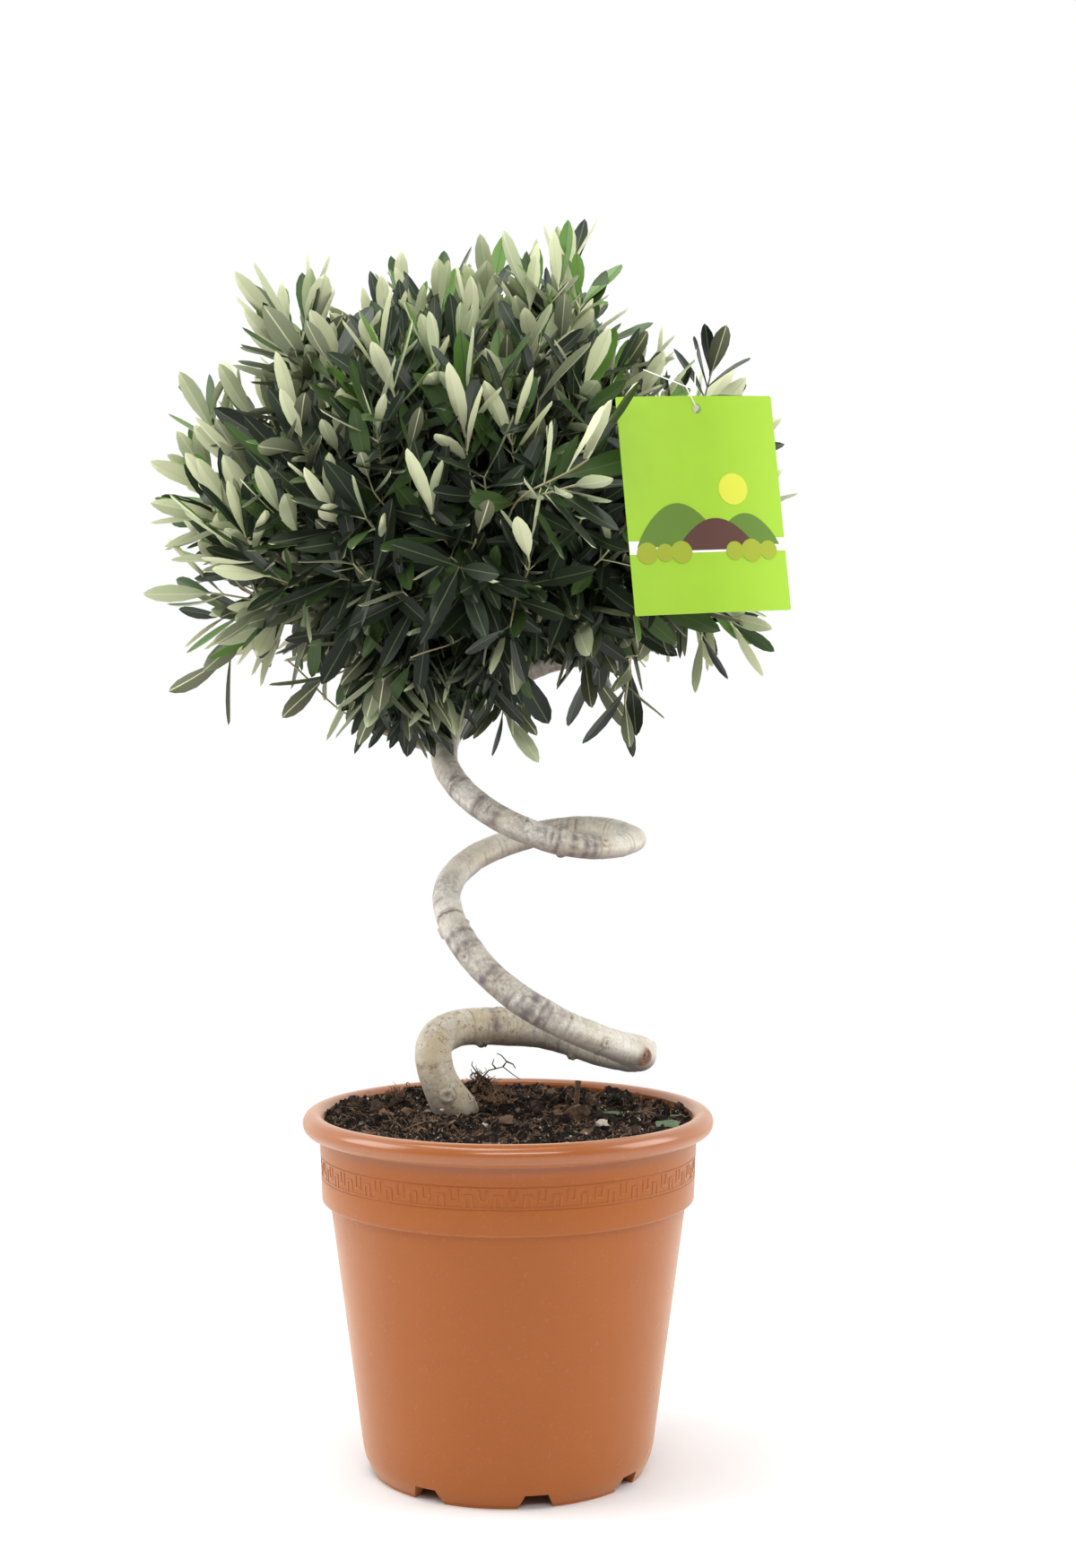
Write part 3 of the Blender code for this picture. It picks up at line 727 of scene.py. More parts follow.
def bent_round_band(points, start_angle, hanging):
    """Bend a flat hook round the band, standing on the lower border or hanging from the upper one."""
    across, out, up = points.T
    if hanging:
        across, up = HOOK_WIDTH - across, KEY_TOP - BORDER_HEIGHT - up
    else:
        up = KEY_BOTTOM + BORDER_HEIGHT + up
    radius = band_radius(up) - KEY_DEPTH + out
    angle = start_angle + across / band_radius(KEY_BOTTOM)
    return np.stack((radius * np.cos(angle), radius * np.sin(angle), up), axis=1)


def meander():
    """Hooks all round the band; each second one hangs."""
    points, corners, sizes, numbers = taken_arrays(hook())
    parts = []
    for index in range(2 * KEY_PAIRS):
        bent = bent_round_band(points, index * math.pi / KEY_PAIRS, index % 2 == 1)
        parts.append((bent, corners, sizes, numbers))
    key = mesh_object("pot_meander", parts)
    face_outwards(key)
    return key


finish_piece(meander(), "pot_meander", [plastic], smooth_angle=40)

# %% [markdown]
# ## The compost
# Potting compost is dark, loose and full of bits: clods, bark crumbs, pale grit and a felt of dry roots. A
# bumpy disc alone looks like mud. So a fine grid is displaced by four sizes of noise, with a low mound
# where the picture shows one, and real lumps, chips and roots are strewn over it afterwards, as the eye
# reads the loose things and not the ground between them.

# %% Raise the ground
SOIL_RADIUS = 0.1439
SOIL_HEIGHT = 0.2712
SOIL_FLAT = 0.090
SOIL_EDGE_RISE = 0.0010
SOIL_HEAP = 0.0045
SOIL_GRID = 190
SOIL_DEPTH = 0.030
SOIL_WAVES = ((0.045, 0.0040), (0.019, 0.0055), (0.0085, 0.0052), (0.0034, 0.0026))
SOIL_MOUND = (-0.020, 0.083)
SOIL_MOUND_RISE = 0.015
SOIL_MOUND_WIDTH = 0.011
COLLAR_HEIGHT = 0.2730
COLLAR_WIDTH = 0.025
TRUNK_FOOT_PLACE = Vector((-0.041, 0.033))


def ground_height(across, along):
    """Height of the compost: nearly flat, crumbly, heaped at the back, and even round the trunk."""
    distance = math.hypot(across, along)
    fall = max(0.0, (distance - SOIL_FLAT) / (SOIL_RADIUS - SOIL_FLAT))
    height = SOIL_HEIGHT + SOIL_EDGE_RISE * fall
    for size, rise in SOIL_WAVES:
        value = noise.noise(Vector((across / size, along / size, size * 900)))
        height += rise * (abs(value) * 1.6 - 0.35 if size < 0.02 else value)
    from_mound = (across - SOIL_MOUND[0]) ** 2 + (along - SOIL_MOUND[1]) ** 2
    mound = SOIL_MOUND_RISE * math.exp(-from_mound / SOIL_MOUND_WIDTH**2)
    heaped = clamped((along - 0.02) / 0.09) * min(1.0, (SOIL_RADIUS + 0.004 - distance) / 0.02)
    near_trunk = clamped(1.5 - (Vector((across, along)) - TRUNK_FOOT_PLACE).length / COLLAR_WIDTH)
    return height * (1 - near_trunk) + COLLAR_HEIGHT * near_trunk + SOIL_HEAP * heaped + mound


def make_ground():
    """A fine round grid, each point at its height, with a wall and a closed underside."""
    grid, size = bpy.ops.mesh.primitive_grid_add, 2 * SOIL_RADIUS + 0.004
    ground = add_object(grid, x_subdivisions=SOIL_GRID, y_subdivisions=SOIL_GRID, size=size)
    edit_on()
    select_points(lambda vert: vert.co.xy.length > SOIL_RADIUS)
    bpy.ops.mesh.delete(type="VERT")
    edit_off()
    for vert in ground.data.vertices:
        vert.co.z = ground_height(vert.co.x, vert.co.y)
    edit_on()
    pick_all()
    bpy.ops.mesh.region_to_loop()
    extrude((0.0, 0.0, -SOIL_DEPTH))
    bpy.ops.transform.resize(value=(0.97, 0.97, 0.0), center_override=(0.0, 0.0, SOIL_HEIGHT - SOIL_DEPTH))
    bpy.ops.mesh.edge_face_add()
    edit_off()
    face_outwards(ground)
    return ground


ground = make_ground()
print("ground points:", len(ground.data.vertices))

# %% [markdown]
# A few lumps are modelled from icospheres and copied with other sizes and turns, from finger-tip clods down
# to crumbs. Most places are drawn at random. The few things that the picture shows clearly, such as a pale
# stone and a fallen leaf, are laid at their own pixels.

# %% Strew clods, chips and grit
CLODS = 560
CLOD_SIZES = (0.0012, 0.0060)
LARGE_CLODS = 46
LARGE_SIZES = (0.0060, 0.0100)
CRUMBS = 1300
CRUMB_SIZES = (0.0006, 0.0018)
CHIPS = 190
CHIP_SIZES = (0.001, 0.0042)
GRITS = 240
GRIT_SIZES = (0.0005, 0.0012)
LAID_TILT = 0.42
STREW_REACH = 0.139
LARGE_REACH = 0.130
TRUNK_ROOM = 0.018
SOIL_EARTH, SOIL_CLOD, SOIL_ROOT, SOIL_CHIP, SOIL_GRIT, SOIL_WARM, SOIL_GREEN = range(7)
SOIL_MIX = (SOIL_EARTH, SOIL_CLOD, SOIL_EARTH, SOIL_WARM, SOIL_CLOD, SOIL_EARTH, SOIL_CHIP)
LAID = (
    ((672, 1260), (0.0050, 0.0036, 0.0022), 20, SOIL_GRIT),
    ((540, 1261), (0.0024, 0.0020, 0.0016), 0, SOIL_GRIT),
    ((493, 1243), (0.0016, 0.0012, 0.0010), 40, SOIL_GRIT),
    ((745, 1261), (0.0100, 0.0044, 0.0006), -38, SOIL_GREEN),
    ((684, 1246), (0.0075, 0.0016, 0.0006), -12, SOIL_GREEN),
    ((752, 1249), (0.0040, 0.0010, 0.0004), 24, SOIL_GREEN),
    ((644, 1251), (0.0095, 0.0065, 0.0050), 15, SOIL_WARM),
    ((600, 1243), (0.0070, 0.0050, 0.0040), 70, SOIL_CLOD),
    ((566, 1258), (0.0060, 0.0045, 0.0034), 0, SOIL_WARM),
    ((420, 1246), (0.0062, 0.0046, 0.0034), 30, SOIL_CLOD),
)


def lump_shape(subdivisions, roughness, seed):
    """An icosphere knocked out of shape by noise."""
    lump = add_object(bpy.ops.mesh.primitive_ico_sphere_add, subdivisions=subdivisions, radius=1.0)
    for vert in lump.data.vertices:
        place = vert.co + Vector((seed * 3.1, 0.0, 0.0))
        crumbs = 0.35 * noise.noise(place * 4.5) + 0.25 * abs(noise.noise(place * 9.0))
        vert.co *= 1.0 + roughness * (noise.noise(place * 1.7) + crumbs)
    return taken_arrays(lump)


def turned_copy(shape, place, size, number, flatten=1.0):
    """A copy of a small shape, turned at random, stretched, and put in its place."""
    points, corners, sizes, _ = shape
    axis = Vector(random.normal(size=3)).normalized()
    turn = np.array(Matrix.Rotation(random.uniform(0, math.tau), 3, axis))
    stretch = np.array(size) * random.uniform(0.7, 1.3, 3)
    moved = (points * stretch) @ turn.T
    moved[:, 2] *= flatten
    return moved + np.array(place), corners, sizes, np.full(len(sizes), number)


def laid_copy(shape, spot, size, heading, number):
    """A copy of a small shape, laid in its place with a heading and a little tilted."""
    points, corners, sizes, _ = shape
    turn = np.array(Matrix.Rotation(math.radians(heading), 3, "Z") @ Matrix.Rotation(LAID_TILT, 3, "X"))
    return (points * np.array(size)) @ turn.T + np.array(spot), corners, sizes, np.full(len(sizes), number)


def ground_place(sunk, reach=STREW_REACH):
    """A random place on the compost, clear of the trunk."""
    while True:
        distance, angle = reach * math.sqrt(random.uniform()), random.uniform(0, math.tau)
        across, along = distance * math.cos(angle), distance * math.sin(angle)
        if (Vector((across, along)) - TRUNK_FOOT_PLACE).length > TRUNK_ROOM:
            return Vector((across, along, ground_height(across, along) - sunk))


def strew():
    """Clods and crumbs of compost, flat chips of bark, pale grit, and the things laid at a pixel."""
    lumps = [lump_shape(2, 0.75, seed) for seed in range(4)]
    boulders = [lump_shape(4, 0.75, seed + 9) for seed in range(4)]
    specks = [lump_shape(1, 0.5, seed) for seed in range(3)]
    parts = []
    for index in range(CLODS):
        size = CLOD_SIZES[0] + (CLOD_SIZES[1] - CLOD_SIZES[0]) * random.uniform() ** 3
        place = ground_place(size * 0.25)
        parts.append(turned_copy(lumps[index % 4], place, size, SOIL_MIX[index % 6], 0.75))
    for index in range(LARGE_CLODS):
        size = random.uniform(*LARGE_SIZES)
        place = ground_place(size * 0.50, LARGE_REACH)
        parts.append(turned_copy(boulders[index % 4], place, size, SOIL_MIX[index % 3], 0.7))
    for index in range(CRUMBS):
        size = random.uniform(*CRUMB_SIZES)
        parts.append(turned_copy(specks[index % 3], ground_place(0.0), size, SOIL_MIX[index % 7]))
    for index in range(CHIPS):
        size = random.uniform(*CHIP_SIZES)
        parts.append(turned_copy(specks[index % 3], ground_place(0.0), (size, size * 0.5, 0.0006), SOIL_CHIP))
    for index in range(GRITS):
        place = ground_place(-0.0003)
        parts.append(turned_copy(specks[index % 3], place, random.uniform(*GRIT_SIZES), SOIL_GRIT))
    for index, (pixel, size, heading, number) in enumerate(LAID):
        spot = on_ground(*pixel) + Vector((0.0, -0.002, size[2] * 0.4 + size[1] * 0.45 + 0.0030))
        parts.append(laid_copy(lumps[index % 4], spot, size, heading, number))
    return parts


def on_ground(across, down):
    """The point of the compost that is seen at a pixel."""
    spot = point_seen_at(across, down, 0.0)
    for _ in range(12):
        ray = (spot - CAMERA_PLACE).normalized()
        height = ground_height(spot.x, spot.y)
        spot = CAMERA_PLACE + ray * ((height - CAMERA_PLACE.z) / ray.z)
    return spot


# %% [markdown]
# Dry roots are thin tubes along wandering lines. The same helper later makes the trunk, the boughs, every
# twig and the card's thread: it carries a ring of points along a line, turning it as little as possible,
# and closes both ends.

# %% Write the tube helper
def carried_sides(points):
    """Two side directions at each station of a line, turned as little as possible."""
    ahead = np.gradient(points, axis=0)
    ahead /= np.linalg.norm(ahead, axis=1)[:, None] + 1e-12
    first = np.cross(ahead[0], (0.31, 0.95, 0.05))
    sides = np.empty_like(points)
    sides[0] = first / np.linalg.norm(first)
    for index in range(1, len(points)):
        side = sides[index - 1] - ahead[index] * np.dot(sides[index - 1], ahead[index])
        sides[index] = side / np.linalg.norm(side)
    return sides, np.cross(ahead, sides)


def tube(points, radii, sides, number=0, swell=0.0):
    """A closed tube through stations. swell is added to the radius, point by point."""
    points = np.asarray(points, dtype=float)
    side, other = carried_sides(points)
    angles = np.arange(sides) * math.tau / sides
    ring = np.broadcast_to(np.asarray(radii, dtype=float)[:, None], (len(points), sides)) + swell
    out = side[:, None, :] * np.cos(angles)[None, :, None] + other[:, None, :] * np.sin(angles)[None, :, None]
    mesh_points = (points[:, None, :] + out * ring[:, :, None]).reshape(-1, 3)
    station, around = np.meshgrid(np.arange(len(points) - 1), np.arange(sides), indexing="ij")
    here, ahead = station * sides, (station + 1) * sides
    turned = (around + 1) % sides
    quads = np.stack((here + around, here + turned, ahead + turned, ahead + around), axis=-1).reshape(-1, 4)
    caps = [np.arange(sides)[::-1], (len(points) - 1) * sides + np.arange(sides)]
    corners = np.concatenate([quads.ravel(), *caps])
    sizes = np.concatenate([np.full(len(quads), 4), [sides, sides]])
    return mesh_points, corners, sizes, np.full(len(sizes), number)


# %% [markdown]
# Roots lie on the ground, mat the mound and stand up in small tufts. The few that stand out in the picture
# are drawn along their own pixels.

# %% Lay the roots
ROOTS = 760
ROOT_REACH = 0.142
MOUND_FIBRES = 260
MOUND_SPREAD = 0.0085
ROOT_TUFTS = (
    ((552, 1226), 70, 0.007, 0.01), ((441, 1222), 46, 0.009, 0.004), ((715, 1236), 30, 0.008, 0.006),
    ((655, 1230), 26, 0.008, 0.006), ((600, 1226), 30, 0.007, 0.01), ((480, 1258), 30, 0.006, 0.01),
)
TUFT_DEPTH = 0.062
DRAWN_ROOTS = (
    ((530, 1214), (538, 1202), (545, 1194), (553, 1192), (561, 1190), (570, 1197), (580, 1204)),
    ((561, 1190), (565, 1184), (559, 1177), (554, 1175)), ((565, 1184), (572, 1187), (575, 1192)),
    ((553, 1192), (549, 1187), (551, 1181)), ((538, 1202), (531, 1195), (526, 1188), (527, 1184)),
)
GROUND_ROOTS = (
    ((452, 1262), (462, 1257), (474, 1253), (486, 1252), (494, 1254)),
    ((560, 1250), (575, 1246), (588, 1248), (598, 1254)),
    ((700, 1250), (712, 1243), (722, 1241), (730, 1244)),
)
STICK_PIXEL = (642, 1236)
STICK_HEIGHT = 0.022


def wandering(start, direction, length, steps, wander):
    """A crooked line that starts in a direction and keeps changing it a little."""
    points, heading = [np.array(start)], np.array(direction) / np.linalg.norm(direction)
    for _ in range(steps):
        heading = heading + random.normal(scale=wander, size=3)
        heading /= np.linalg.norm(heading)
        points.append(points[-1] + heading * length / steps)
    return np.array(points)


def fibre(start, direction, length, steps, wander, thick, thin):
    """A dry root as a thin tube that tapers along a crooked line."""
    line = wandering(start, direction, length, steps, wander)
    return tube(line, np.linspace(thick, thin, steps + 1), 3, SOIL_ROOT)


def root_parts():
    """Roots on the compost, a felt on its mound, upright tufts, and those drawn from the picture."""
    parts = []
    for _ in range(ROOTS):
        spot = ground_place(-0.0004)
        heading = (*random.normal(size=2), random.normal() * 0.25)
        line = wandering(spot, heading, random.uniform(0.006, 0.024), 7, 0.45)
        for point in line:
            low = ground_height(point[0], point[1])
            point[2] = clamped(point[2], low, low + 0.004)
            point[:2] *= min(1.0, ROOT_REACH / max(math.hypot(point[0], point[1]), 1e-9))
        thickness = 1.0 if random.uniform() < 0.75 else 1.8
        parts.append(tube(line, np.linspace(0.00036, 0.00014, 8) * thickness, 3, SOIL_ROOT))
    for _ in range(MOUND_FIBRES):
        across, along = Vector(SOIL_MOUND) + Vector(random.normal(scale=MOUND_SPREAD, size=2))
        heading = (random.normal() * 0.9, random.normal() * 0.7, random.uniform(0.2, 1.0))
        spot = (across, along, ground_height(across, along) - 0.001)
        parts.append(fibre(spot, heading, random.uniform(0.006, 0.015), 7, 0.55, 0.00055, 0.00025))
    for pixel, count, height, spread in ROOT_TUFTS:
        for _ in range(count):
            spot = on_ground(*pixel) + Vector((*random.normal(scale=spread, size=2), 0.0))
            heading = (random.normal() * 0.55, random.normal() * 0.4, 1.0)
            parts.append(fibre(spot, heading, height * random.uniform(0.6, 1.6), 8, 0.45, 0.00050, 0.00018))
    for pixels in DRAWN_ROOTS:
        line = [point_seen_at(*pixel, TUFT_DEPTH + random.normal() * 0.001) for pixel in pixels]
        parts.append(tube(line, np.linspace(0.00075, 0.00034, len(line)), 5, SOIL_CLOD))
    for pixels in GROUND_ROOTS:
        line = [on_ground(*pixel) + Vector((0.0, 0.0, 0.0014)) for pixel in pixels]
        parts.append(tube(line, np.linspace(0.00070, 0.00035, len(line)), 5, SOIL_CHIP))
    return parts


def stick_part():
    """A dry stick that stands in the compost."""
    foot = on_ground(*STICK_PIXEL)
    line = []
    for share in np.linspace(0, 1, 7):
        line.append(foot + Vector((share * 0.002, 0.0, (share * 1.15 - 0.15) * STICK_HEIGHT)))
    return tube(line, (0.0024, 0.0022, 0.0021, 0.0023, 0.0020, 0.0021, 0.0026), 7, SOIL_ROOT)


bit_parts = [*strew(), *root_parts(), stick_part()]
print("loose bits and roots:", len(bit_parts))

# %% [markdown]
# Compost gets painted shade, nearly black, in its hollows and painted light, brown, on its ridges. How
# sharply the mesh bends makes that mask, so the colours follow the shape. The ground and the bits share their
# materials.

# %% Mix and finish the compost
EARTH = (0.0115, 0.0078, 0.0063)
EARTH_DARK_AND_SHADE = (0.0030, 0.0022, 0.0019)
EARTH_WARM_AND_RIDGE_LIGHT = (0.200, 0.124, 0.080)
ROOT_BROWN = (0.235, 0.140, 0.082)
CHIP_BROWN = (0.26, 0.175, 0.115)
GRIT_PALE = (0.60, 0.54, 0.44)


def hollows(material, start, end):
    """A mask of the hollows of the mesh, or of its ridges, by how sharply it bends there."""
    return ramp(material, add_node(material.node_tree, "NewGeometry").outputs["Pointiness"], start, end)


def earth_finish(name, colour):
    """Matt crumbs of one colour, with painted shade in their hollows and painted light on their ridges."""
    material = start_finish(name, colour, 0.95, Specular_IOR_Level=0.2)
    paint(material, mottle(material, 70.0, 0.42, 0.60, detail=5.0), EARTH_DARK_AND_SHADE, 0.8)
    paint(material, mottle(material, 420.0, 0.57, 0.70, detail=5.0, roughness=0.7), EARTH_WARM_AND_RIDGE_LIGHT, 0.8)
    # Painted shade in the hollows and painted light on the ridges, by how sharply the mesh bends.
    paint(material, hollows(material, 0.500, 0.420), EARTH_DARK_AND_SHADE, 0.95)
    paint(material, hollows(material, 0.575, 0.680), EARTH_WARM_AND_RIDGE_LIGHT, 0.55)
    relief(material, mottle(material, 900.0, 0.3, 0.7, detail=4.0), 0.0005, 0.9)
    return material


def plain_bits(name, colour, darker):
    """Small bits of one colour with a second one in patches."""
    material = start_finish(name, colour, 0.85, Specular_IOR_Level=0.3)
    paint(material, mottle(material, 300.0, 0.4, 0.65), darker, 0.7)
    return material


soil = mesh_object("compost", [taken_arrays(ground)])
bits = mesh_object("compost_bits", bit_parts)
soil_finishes = [
    earth_finish("compost_earth", EARTH),
    earth_finish("compost_clod", (0.055, 0.035, 0.025)),
    plain_bits("dry_root", ROOT_BROWN, (0.06, 0.036, 0.022)),
    plain_bits("bark_chip", CHIP_BROWN, (0.05, 0.032, 0.022)),
    plain_bits("pale_grit", GRIT_PALE, (0.32, 0.25, 0.18)),
    earth_finish("compost_warm", (0.230, 0.145, 0.090)),
    plain_bits("fallen_leaf", (0.150, 0.200, 0.115), (0.085, 0.125, 0.065)),
]
finish_piece(soil, "compost", soil_finishes, replaced=("soil",), smooth_angle=55)
finish_piece(bits, "compost_bits", soil_finishes, smooth_angle=55)

# %% [markdown]
# ## The trunk's line
# The trunk is one limb: it leans out of the compost to the left, bends over and then winds round an upright
# axis. Its height, its distance from the axis and its thickness are given at each quarter turn, as in the
# model, and a smooth curve runs through them. Soft sways lift or lower that line where the picture shows it
# uneven.

# %% Follow the trunk
SPIRAL_AXIS = Vector((0.026, 0.0, 0.0))
QUARTER_HEIGHTS = (0.349, 0.331, 0.3235, 0.364, 0.446, 0.491, 0.491, 0.498, 0.558, 0.628, 0.642, 0.668, 0.700)
QUARTER_REACHES = (0.078, 0.074, 0.076, 0.074, 0.074, 0.074, 0.072, 0.074, 0.076, 0.073, 0.067, 0.050, 0.027)
QUARTER_RADII = (
    0.0154, 0.0148, 0.014, 0.0116, 0.0108, 0.01, 0.0093, 0.0097, 0.01, 0.009, 0.0088, 0.0086, 0.0085,
)
TRUNK_FOOT = Vector((-0.041, 0.033, 0.272))
FOOT_PULL = Vector((-0.034, -0.020, 0.057))
BEND_END = 0.75
BEND_PULL = 0.066
FOOT_RADIUS_AT_SOIL = 0.0185
FOOT_RADIUS_ABOVE = 0.0142
FLARE_SHARE = 0.25
LINE_SWAYS = ((0.95, 0.25, 0.0012), (1.50, 0.35, -0.0050), (5.40, 0.38, 0.0028), (6.68, 0.38, -0.0030))
RADIUS_TRIMS = ((2.60, 0.32, -0.0013),)
TRUNK_SPACING = 0.0016
TRUNK_SIDES = 56
LAST_QUARTER = len(QUARTER_HEIGHTS) - 1


def smooth_value(values, at):
    """A smooth curve through values that stand at 0, 1, 2 and so on."""
    index = min(int(at), len(values) - 2)
    share, last = at - index, len(values) - 1
    before = values[index - 1] if index > 0 else 2 * values[0] - values[1]
    after = values[index + 2] if index + 2 <= last else 2 * values[last] - values[last - 1]
    start, end = values[index], values[index + 1]
    start_slope, end_slope, rise = (end - before) / 2, (after - start) / 2, end - start
    bend = 3 * rise - 2 * start_slope - end_slope
    return start + share * start_slope + share**2 * bend + share**3 * (start_slope + end_slope - 2 * rise)


def swayed(at, sways):
    """The sum of soft bumps at one place, each with its middle, half width and height."""
    return sum(height * math.exp(-(((at - middle) / half) ** 2)) for middle, half, height in sways)


def curve_point(pulls, share):
    """A point on the smooth curve that runs from the first of four pulls to the last."""
    left = 1 - share
    weights = (left**3, 3 * left**2 * share, 3 * left * share**2, share**3)
    return sum((pull * weight for pull, weight in zip(pulls, weights)), Vector())


def distances_along(line):
    """How far each point of a line lies from its start, measured along it."""
    return np.concatenate(([0.0], np.cumsum(np.linalg.norm(np.diff(line, axis=0), axis=1))))


def spiral_point(quarter):
    angle = math.pi - quarter * math.pi / 2
    reach = smooth_value(QUARTER_REACHES, quarter)
    height = smooth_value(QUARTER_HEIGHTS, quarter) + swayed(quarter, LINE_SWAYS)
    return SPIRAL_AXIS + Vector((reach * math.cos(angle), reach * math.sin(angle), height))


def trunk_point(at):
    """Centre of the trunk: the foot's own curve below BEND_END, and the spiral above it."""
    if at >= BEND_END:
        return spiral_point(at)
    end = spiral_point(BEND_END)
    heading = (spiral_point(BEND_END + 0.01) - spiral_point(BEND_END - 0.01)).normalized()
    pulls = (TRUNK_FOOT, TRUNK_FOOT + FOOT_PULL, end - heading * BEND_PULL, end)
    return curve_point(pulls, at - (BEND_END - 1))


def trunk_radius(at):
    if at >= BEND_END:
        return smooth_value(QUARTER_RADII, at) + swayed(at, RADIUS_TRIMS)
    share = at - (BEND_END - 1)
    flare = (FOOT_RADIUS_AT_SOIL - FOOT_RADIUS_ABOVE) * max(0.0, 1 - share / FLARE_SHARE) ** 2
    bend_radius = smooth_value(QUARTER_RADII, BEND_END)
    return FOOT_RADIUS_ABOVE + (bend_radius - FOOT_RADIUS_ABOVE) * share + flare


def even_stations(spacing):
    """Places along the trunk's line that are evenly spaced, as numbers of quarter turns."""
    fine = np.linspace(BEND_END - 1, LAST_QUARTER, 4000)
    travelled = distances_along(np.array([trunk_point(at) for at in fine]))
    count = int(travelled[-1] / spacing)
    return np.interp(np.linspace(0, travelled[-1], count), travelled, fine)


trunk_stations = even_stations(TRUNK_SPACING)
trunk_line = np.array([trunk_point(at) for at in trunk_stations])
trunk_radii = np.array([trunk_radius(at) for at in trunk_stations])
print("trunk length:", round(len(trunk_stations) * TRUNK_SPACING, 2), "m")

# %% [markdown]
# ## Bark
# Young olive bark is smooth and pale, but it isn't a pipe: it swells and thins, and wrinkles across where
# the stem was bent. A sculptor would press that into the mesh by hand. Here the swellings and wrinkles are
# noise on the ring radius, four sizes of it, stretched along the limb.

# %% Swell and wrinkle the limb
BARK_WAVES = ((0.030, 0.00085), (0.011, 0.00055), (0.0042, 0.00028), (0.0020, 0.00014))
BARK_WRINKLE = 0.00055


def bark_swell(line, radii, sides, waves, wrinkle):
    """Noise on the radius of each ring of a limb, stretched along it, with fine wrinkles across."""
    swell = np.zeros((len(line), sides))
    for station, (along, radius) in enumerate(zip(distances_along(line), radii)):
        crease = wrinkle * max(0.0, noise.noise(Vector((along / 0.05, 3.3, 0.0))))
        for index, angle in enumerate(np.arange(sides) * math.tau / sides):
            across, up = radius * math.cos(angle), radius * math.sin(angle)
            value = crease * noise.noise(Vector((across / 0.03, up / 0.03, along / 0.0022)))
            for size, rise in waves:
                value += rise * noise.noise(Vector((across / size, up / size, along / (size * 2.0))))
            swell[station, index] = value
    return swell


def sculpt_trunk():
    """The trunk's skin, its foot sunk a little into the compost, and the line that it follows."""
    below = trunk_line[0] - np.array((0.0, 0.0, 0.008))
    line = np.vstack((below, trunk_line))
    radii = np.concatenate(([trunk_radii[0] * 1.05], trunk_radii))
    swell = bark_swell(line, radii, TRUNK_SIDES, BARK_WAVES, BARK_WRINKLE)
    return tube(line, radii, TRUNK_SIDES, 0, swell), line


def grain(centres, outward, travelled):
    """Two masks for the bark's colour: broken rings across the limb, and streaks along it."""
    ring = np.zeros(len(centres))
    streak = np.zeros(len(centres))
    for index, (side, along) in enumerate(zip(outward * 0.012, travelled)):
        broken = noise.noise(Vector(side / 0.011) + Vector((along / 0.016, 0.0, 5.0)))
        narrow = noise.noise(Vector((along / 0.0028, 7.0, 0.0)) + Vector(side / 0.05))
        ring[index] = max(0.0, narrow * 1.9 + broken * 0.9 - 0.35)
        streak[index] = noise.noise(Vector(side / 0.0032) + Vector((0.0, 0.0, along / 0.030))) * 0.9 + 0.35
    return ring.clip(0.0, 1.0), streak.clip(0.0, 1.0)


# %% [markdown]
# Wherever a side shoot was cut, the bark keeps a ringed scar or a knot, and one thick shoot left a sawn
# stub. They are put where the picture shows them: the bark point that faces the camera nearest to the pixel
# is found, and the shape and its colour mask are worked round it. The back gets a few scars at random.

# %% Press the scars and raise the stub
SCAR_REACH = 2.6
SCARS = (
    ((499, 1222), 0.007, 0.002, 1), ((487, 1192), 0.004, 0.0007, 0.2), ((476, 1150), 0.0042, 0.001, 0.3),
    ((538, 1166), 0.005, 0.002, 0.2), ((634, 1182), 0.0038, 0.0022, 0.2),
    ((676, 1164), 0.0044, 0.0015, 0.8), ((637, 1134), 0.0034, 0.001, 0.3),
    ((517, 1068), 0.0046, 0.0018, 0.6), ((491, 1022), 0.0036, 0.0013, 0.4),
    ((520, 1028), 0.004, 0.0018, 0.2), ((588, 915), 0.0044, 0.0014, 0.5),
    ((674, 936), 0.0046, 0.0015, 0.9), ((624, 955), 0.0036, 0.0016, 0.2),
    ((560, 1105), 0.0034, 0.0008, 0.2), ((505, 880), 0.0036, 0.0011, 0.3),
)
STUB_PIXEL = (717, 1178)
STUB_RADIUS = 0.0088
STUB_HEIGHT = 0.0055
HIDDEN_SCARS = 26


def facing_point(points, centres, pixel):
    """Index of the bark point nearest to a pixel, among those that face the camera."""
    away = points - centres
    to_camera = np.array(CAMERA_PLACE) - points
    facing = (away * to_camera).sum(axis=1) > 0
    across, down = seen_at(points)
    gap = np.hypot(across - pixel[0], down - pixel[1])
    gap[~facing] = 1e9
    near = np.flatnonzero(gap < gap.min() + 1.5)
    return near[np.argmin(np.linalg.norm(points[near] - np.array(CAMERA_PLACE), axis=1))]


def press_scar(points, outward, centre, size, height, brown, ringed=0.25):
    """Raise a ragged lip with a sunk middle round one point, and note its colour."""
    away = points - points[centre]
    gap = np.linalg.norm(away, axis=1) / size
    for index in np.flatnonzero(gap < SCAR_REACH):
        place = Vector(away[index] * (1.1 / size)) + Vector((centre * 0.37, 0.0, 0.0))
        gap[index] *= 1.0 + (0.45 - 0.32 * ringed) * noise.noise(place)
    lip = np.exp(-((gap - 0.62) ** 2) / 0.06) - 0.75 * np.exp(-(gap**2) / 0.07)
    lip += 0.55 * np.exp(-(gap**2) / 0.9)
    lip[gap > SCAR_REACH] = 0.0
    points += outward * (height * lip)[:, None]
    brown[:] = np.maximum(brown, np.exp(-(gap**2) / 0.09))
    brown[:] = np.maximum(brown, ringed * np.exp(-((gap - 0.98) ** 2) / 0.012))


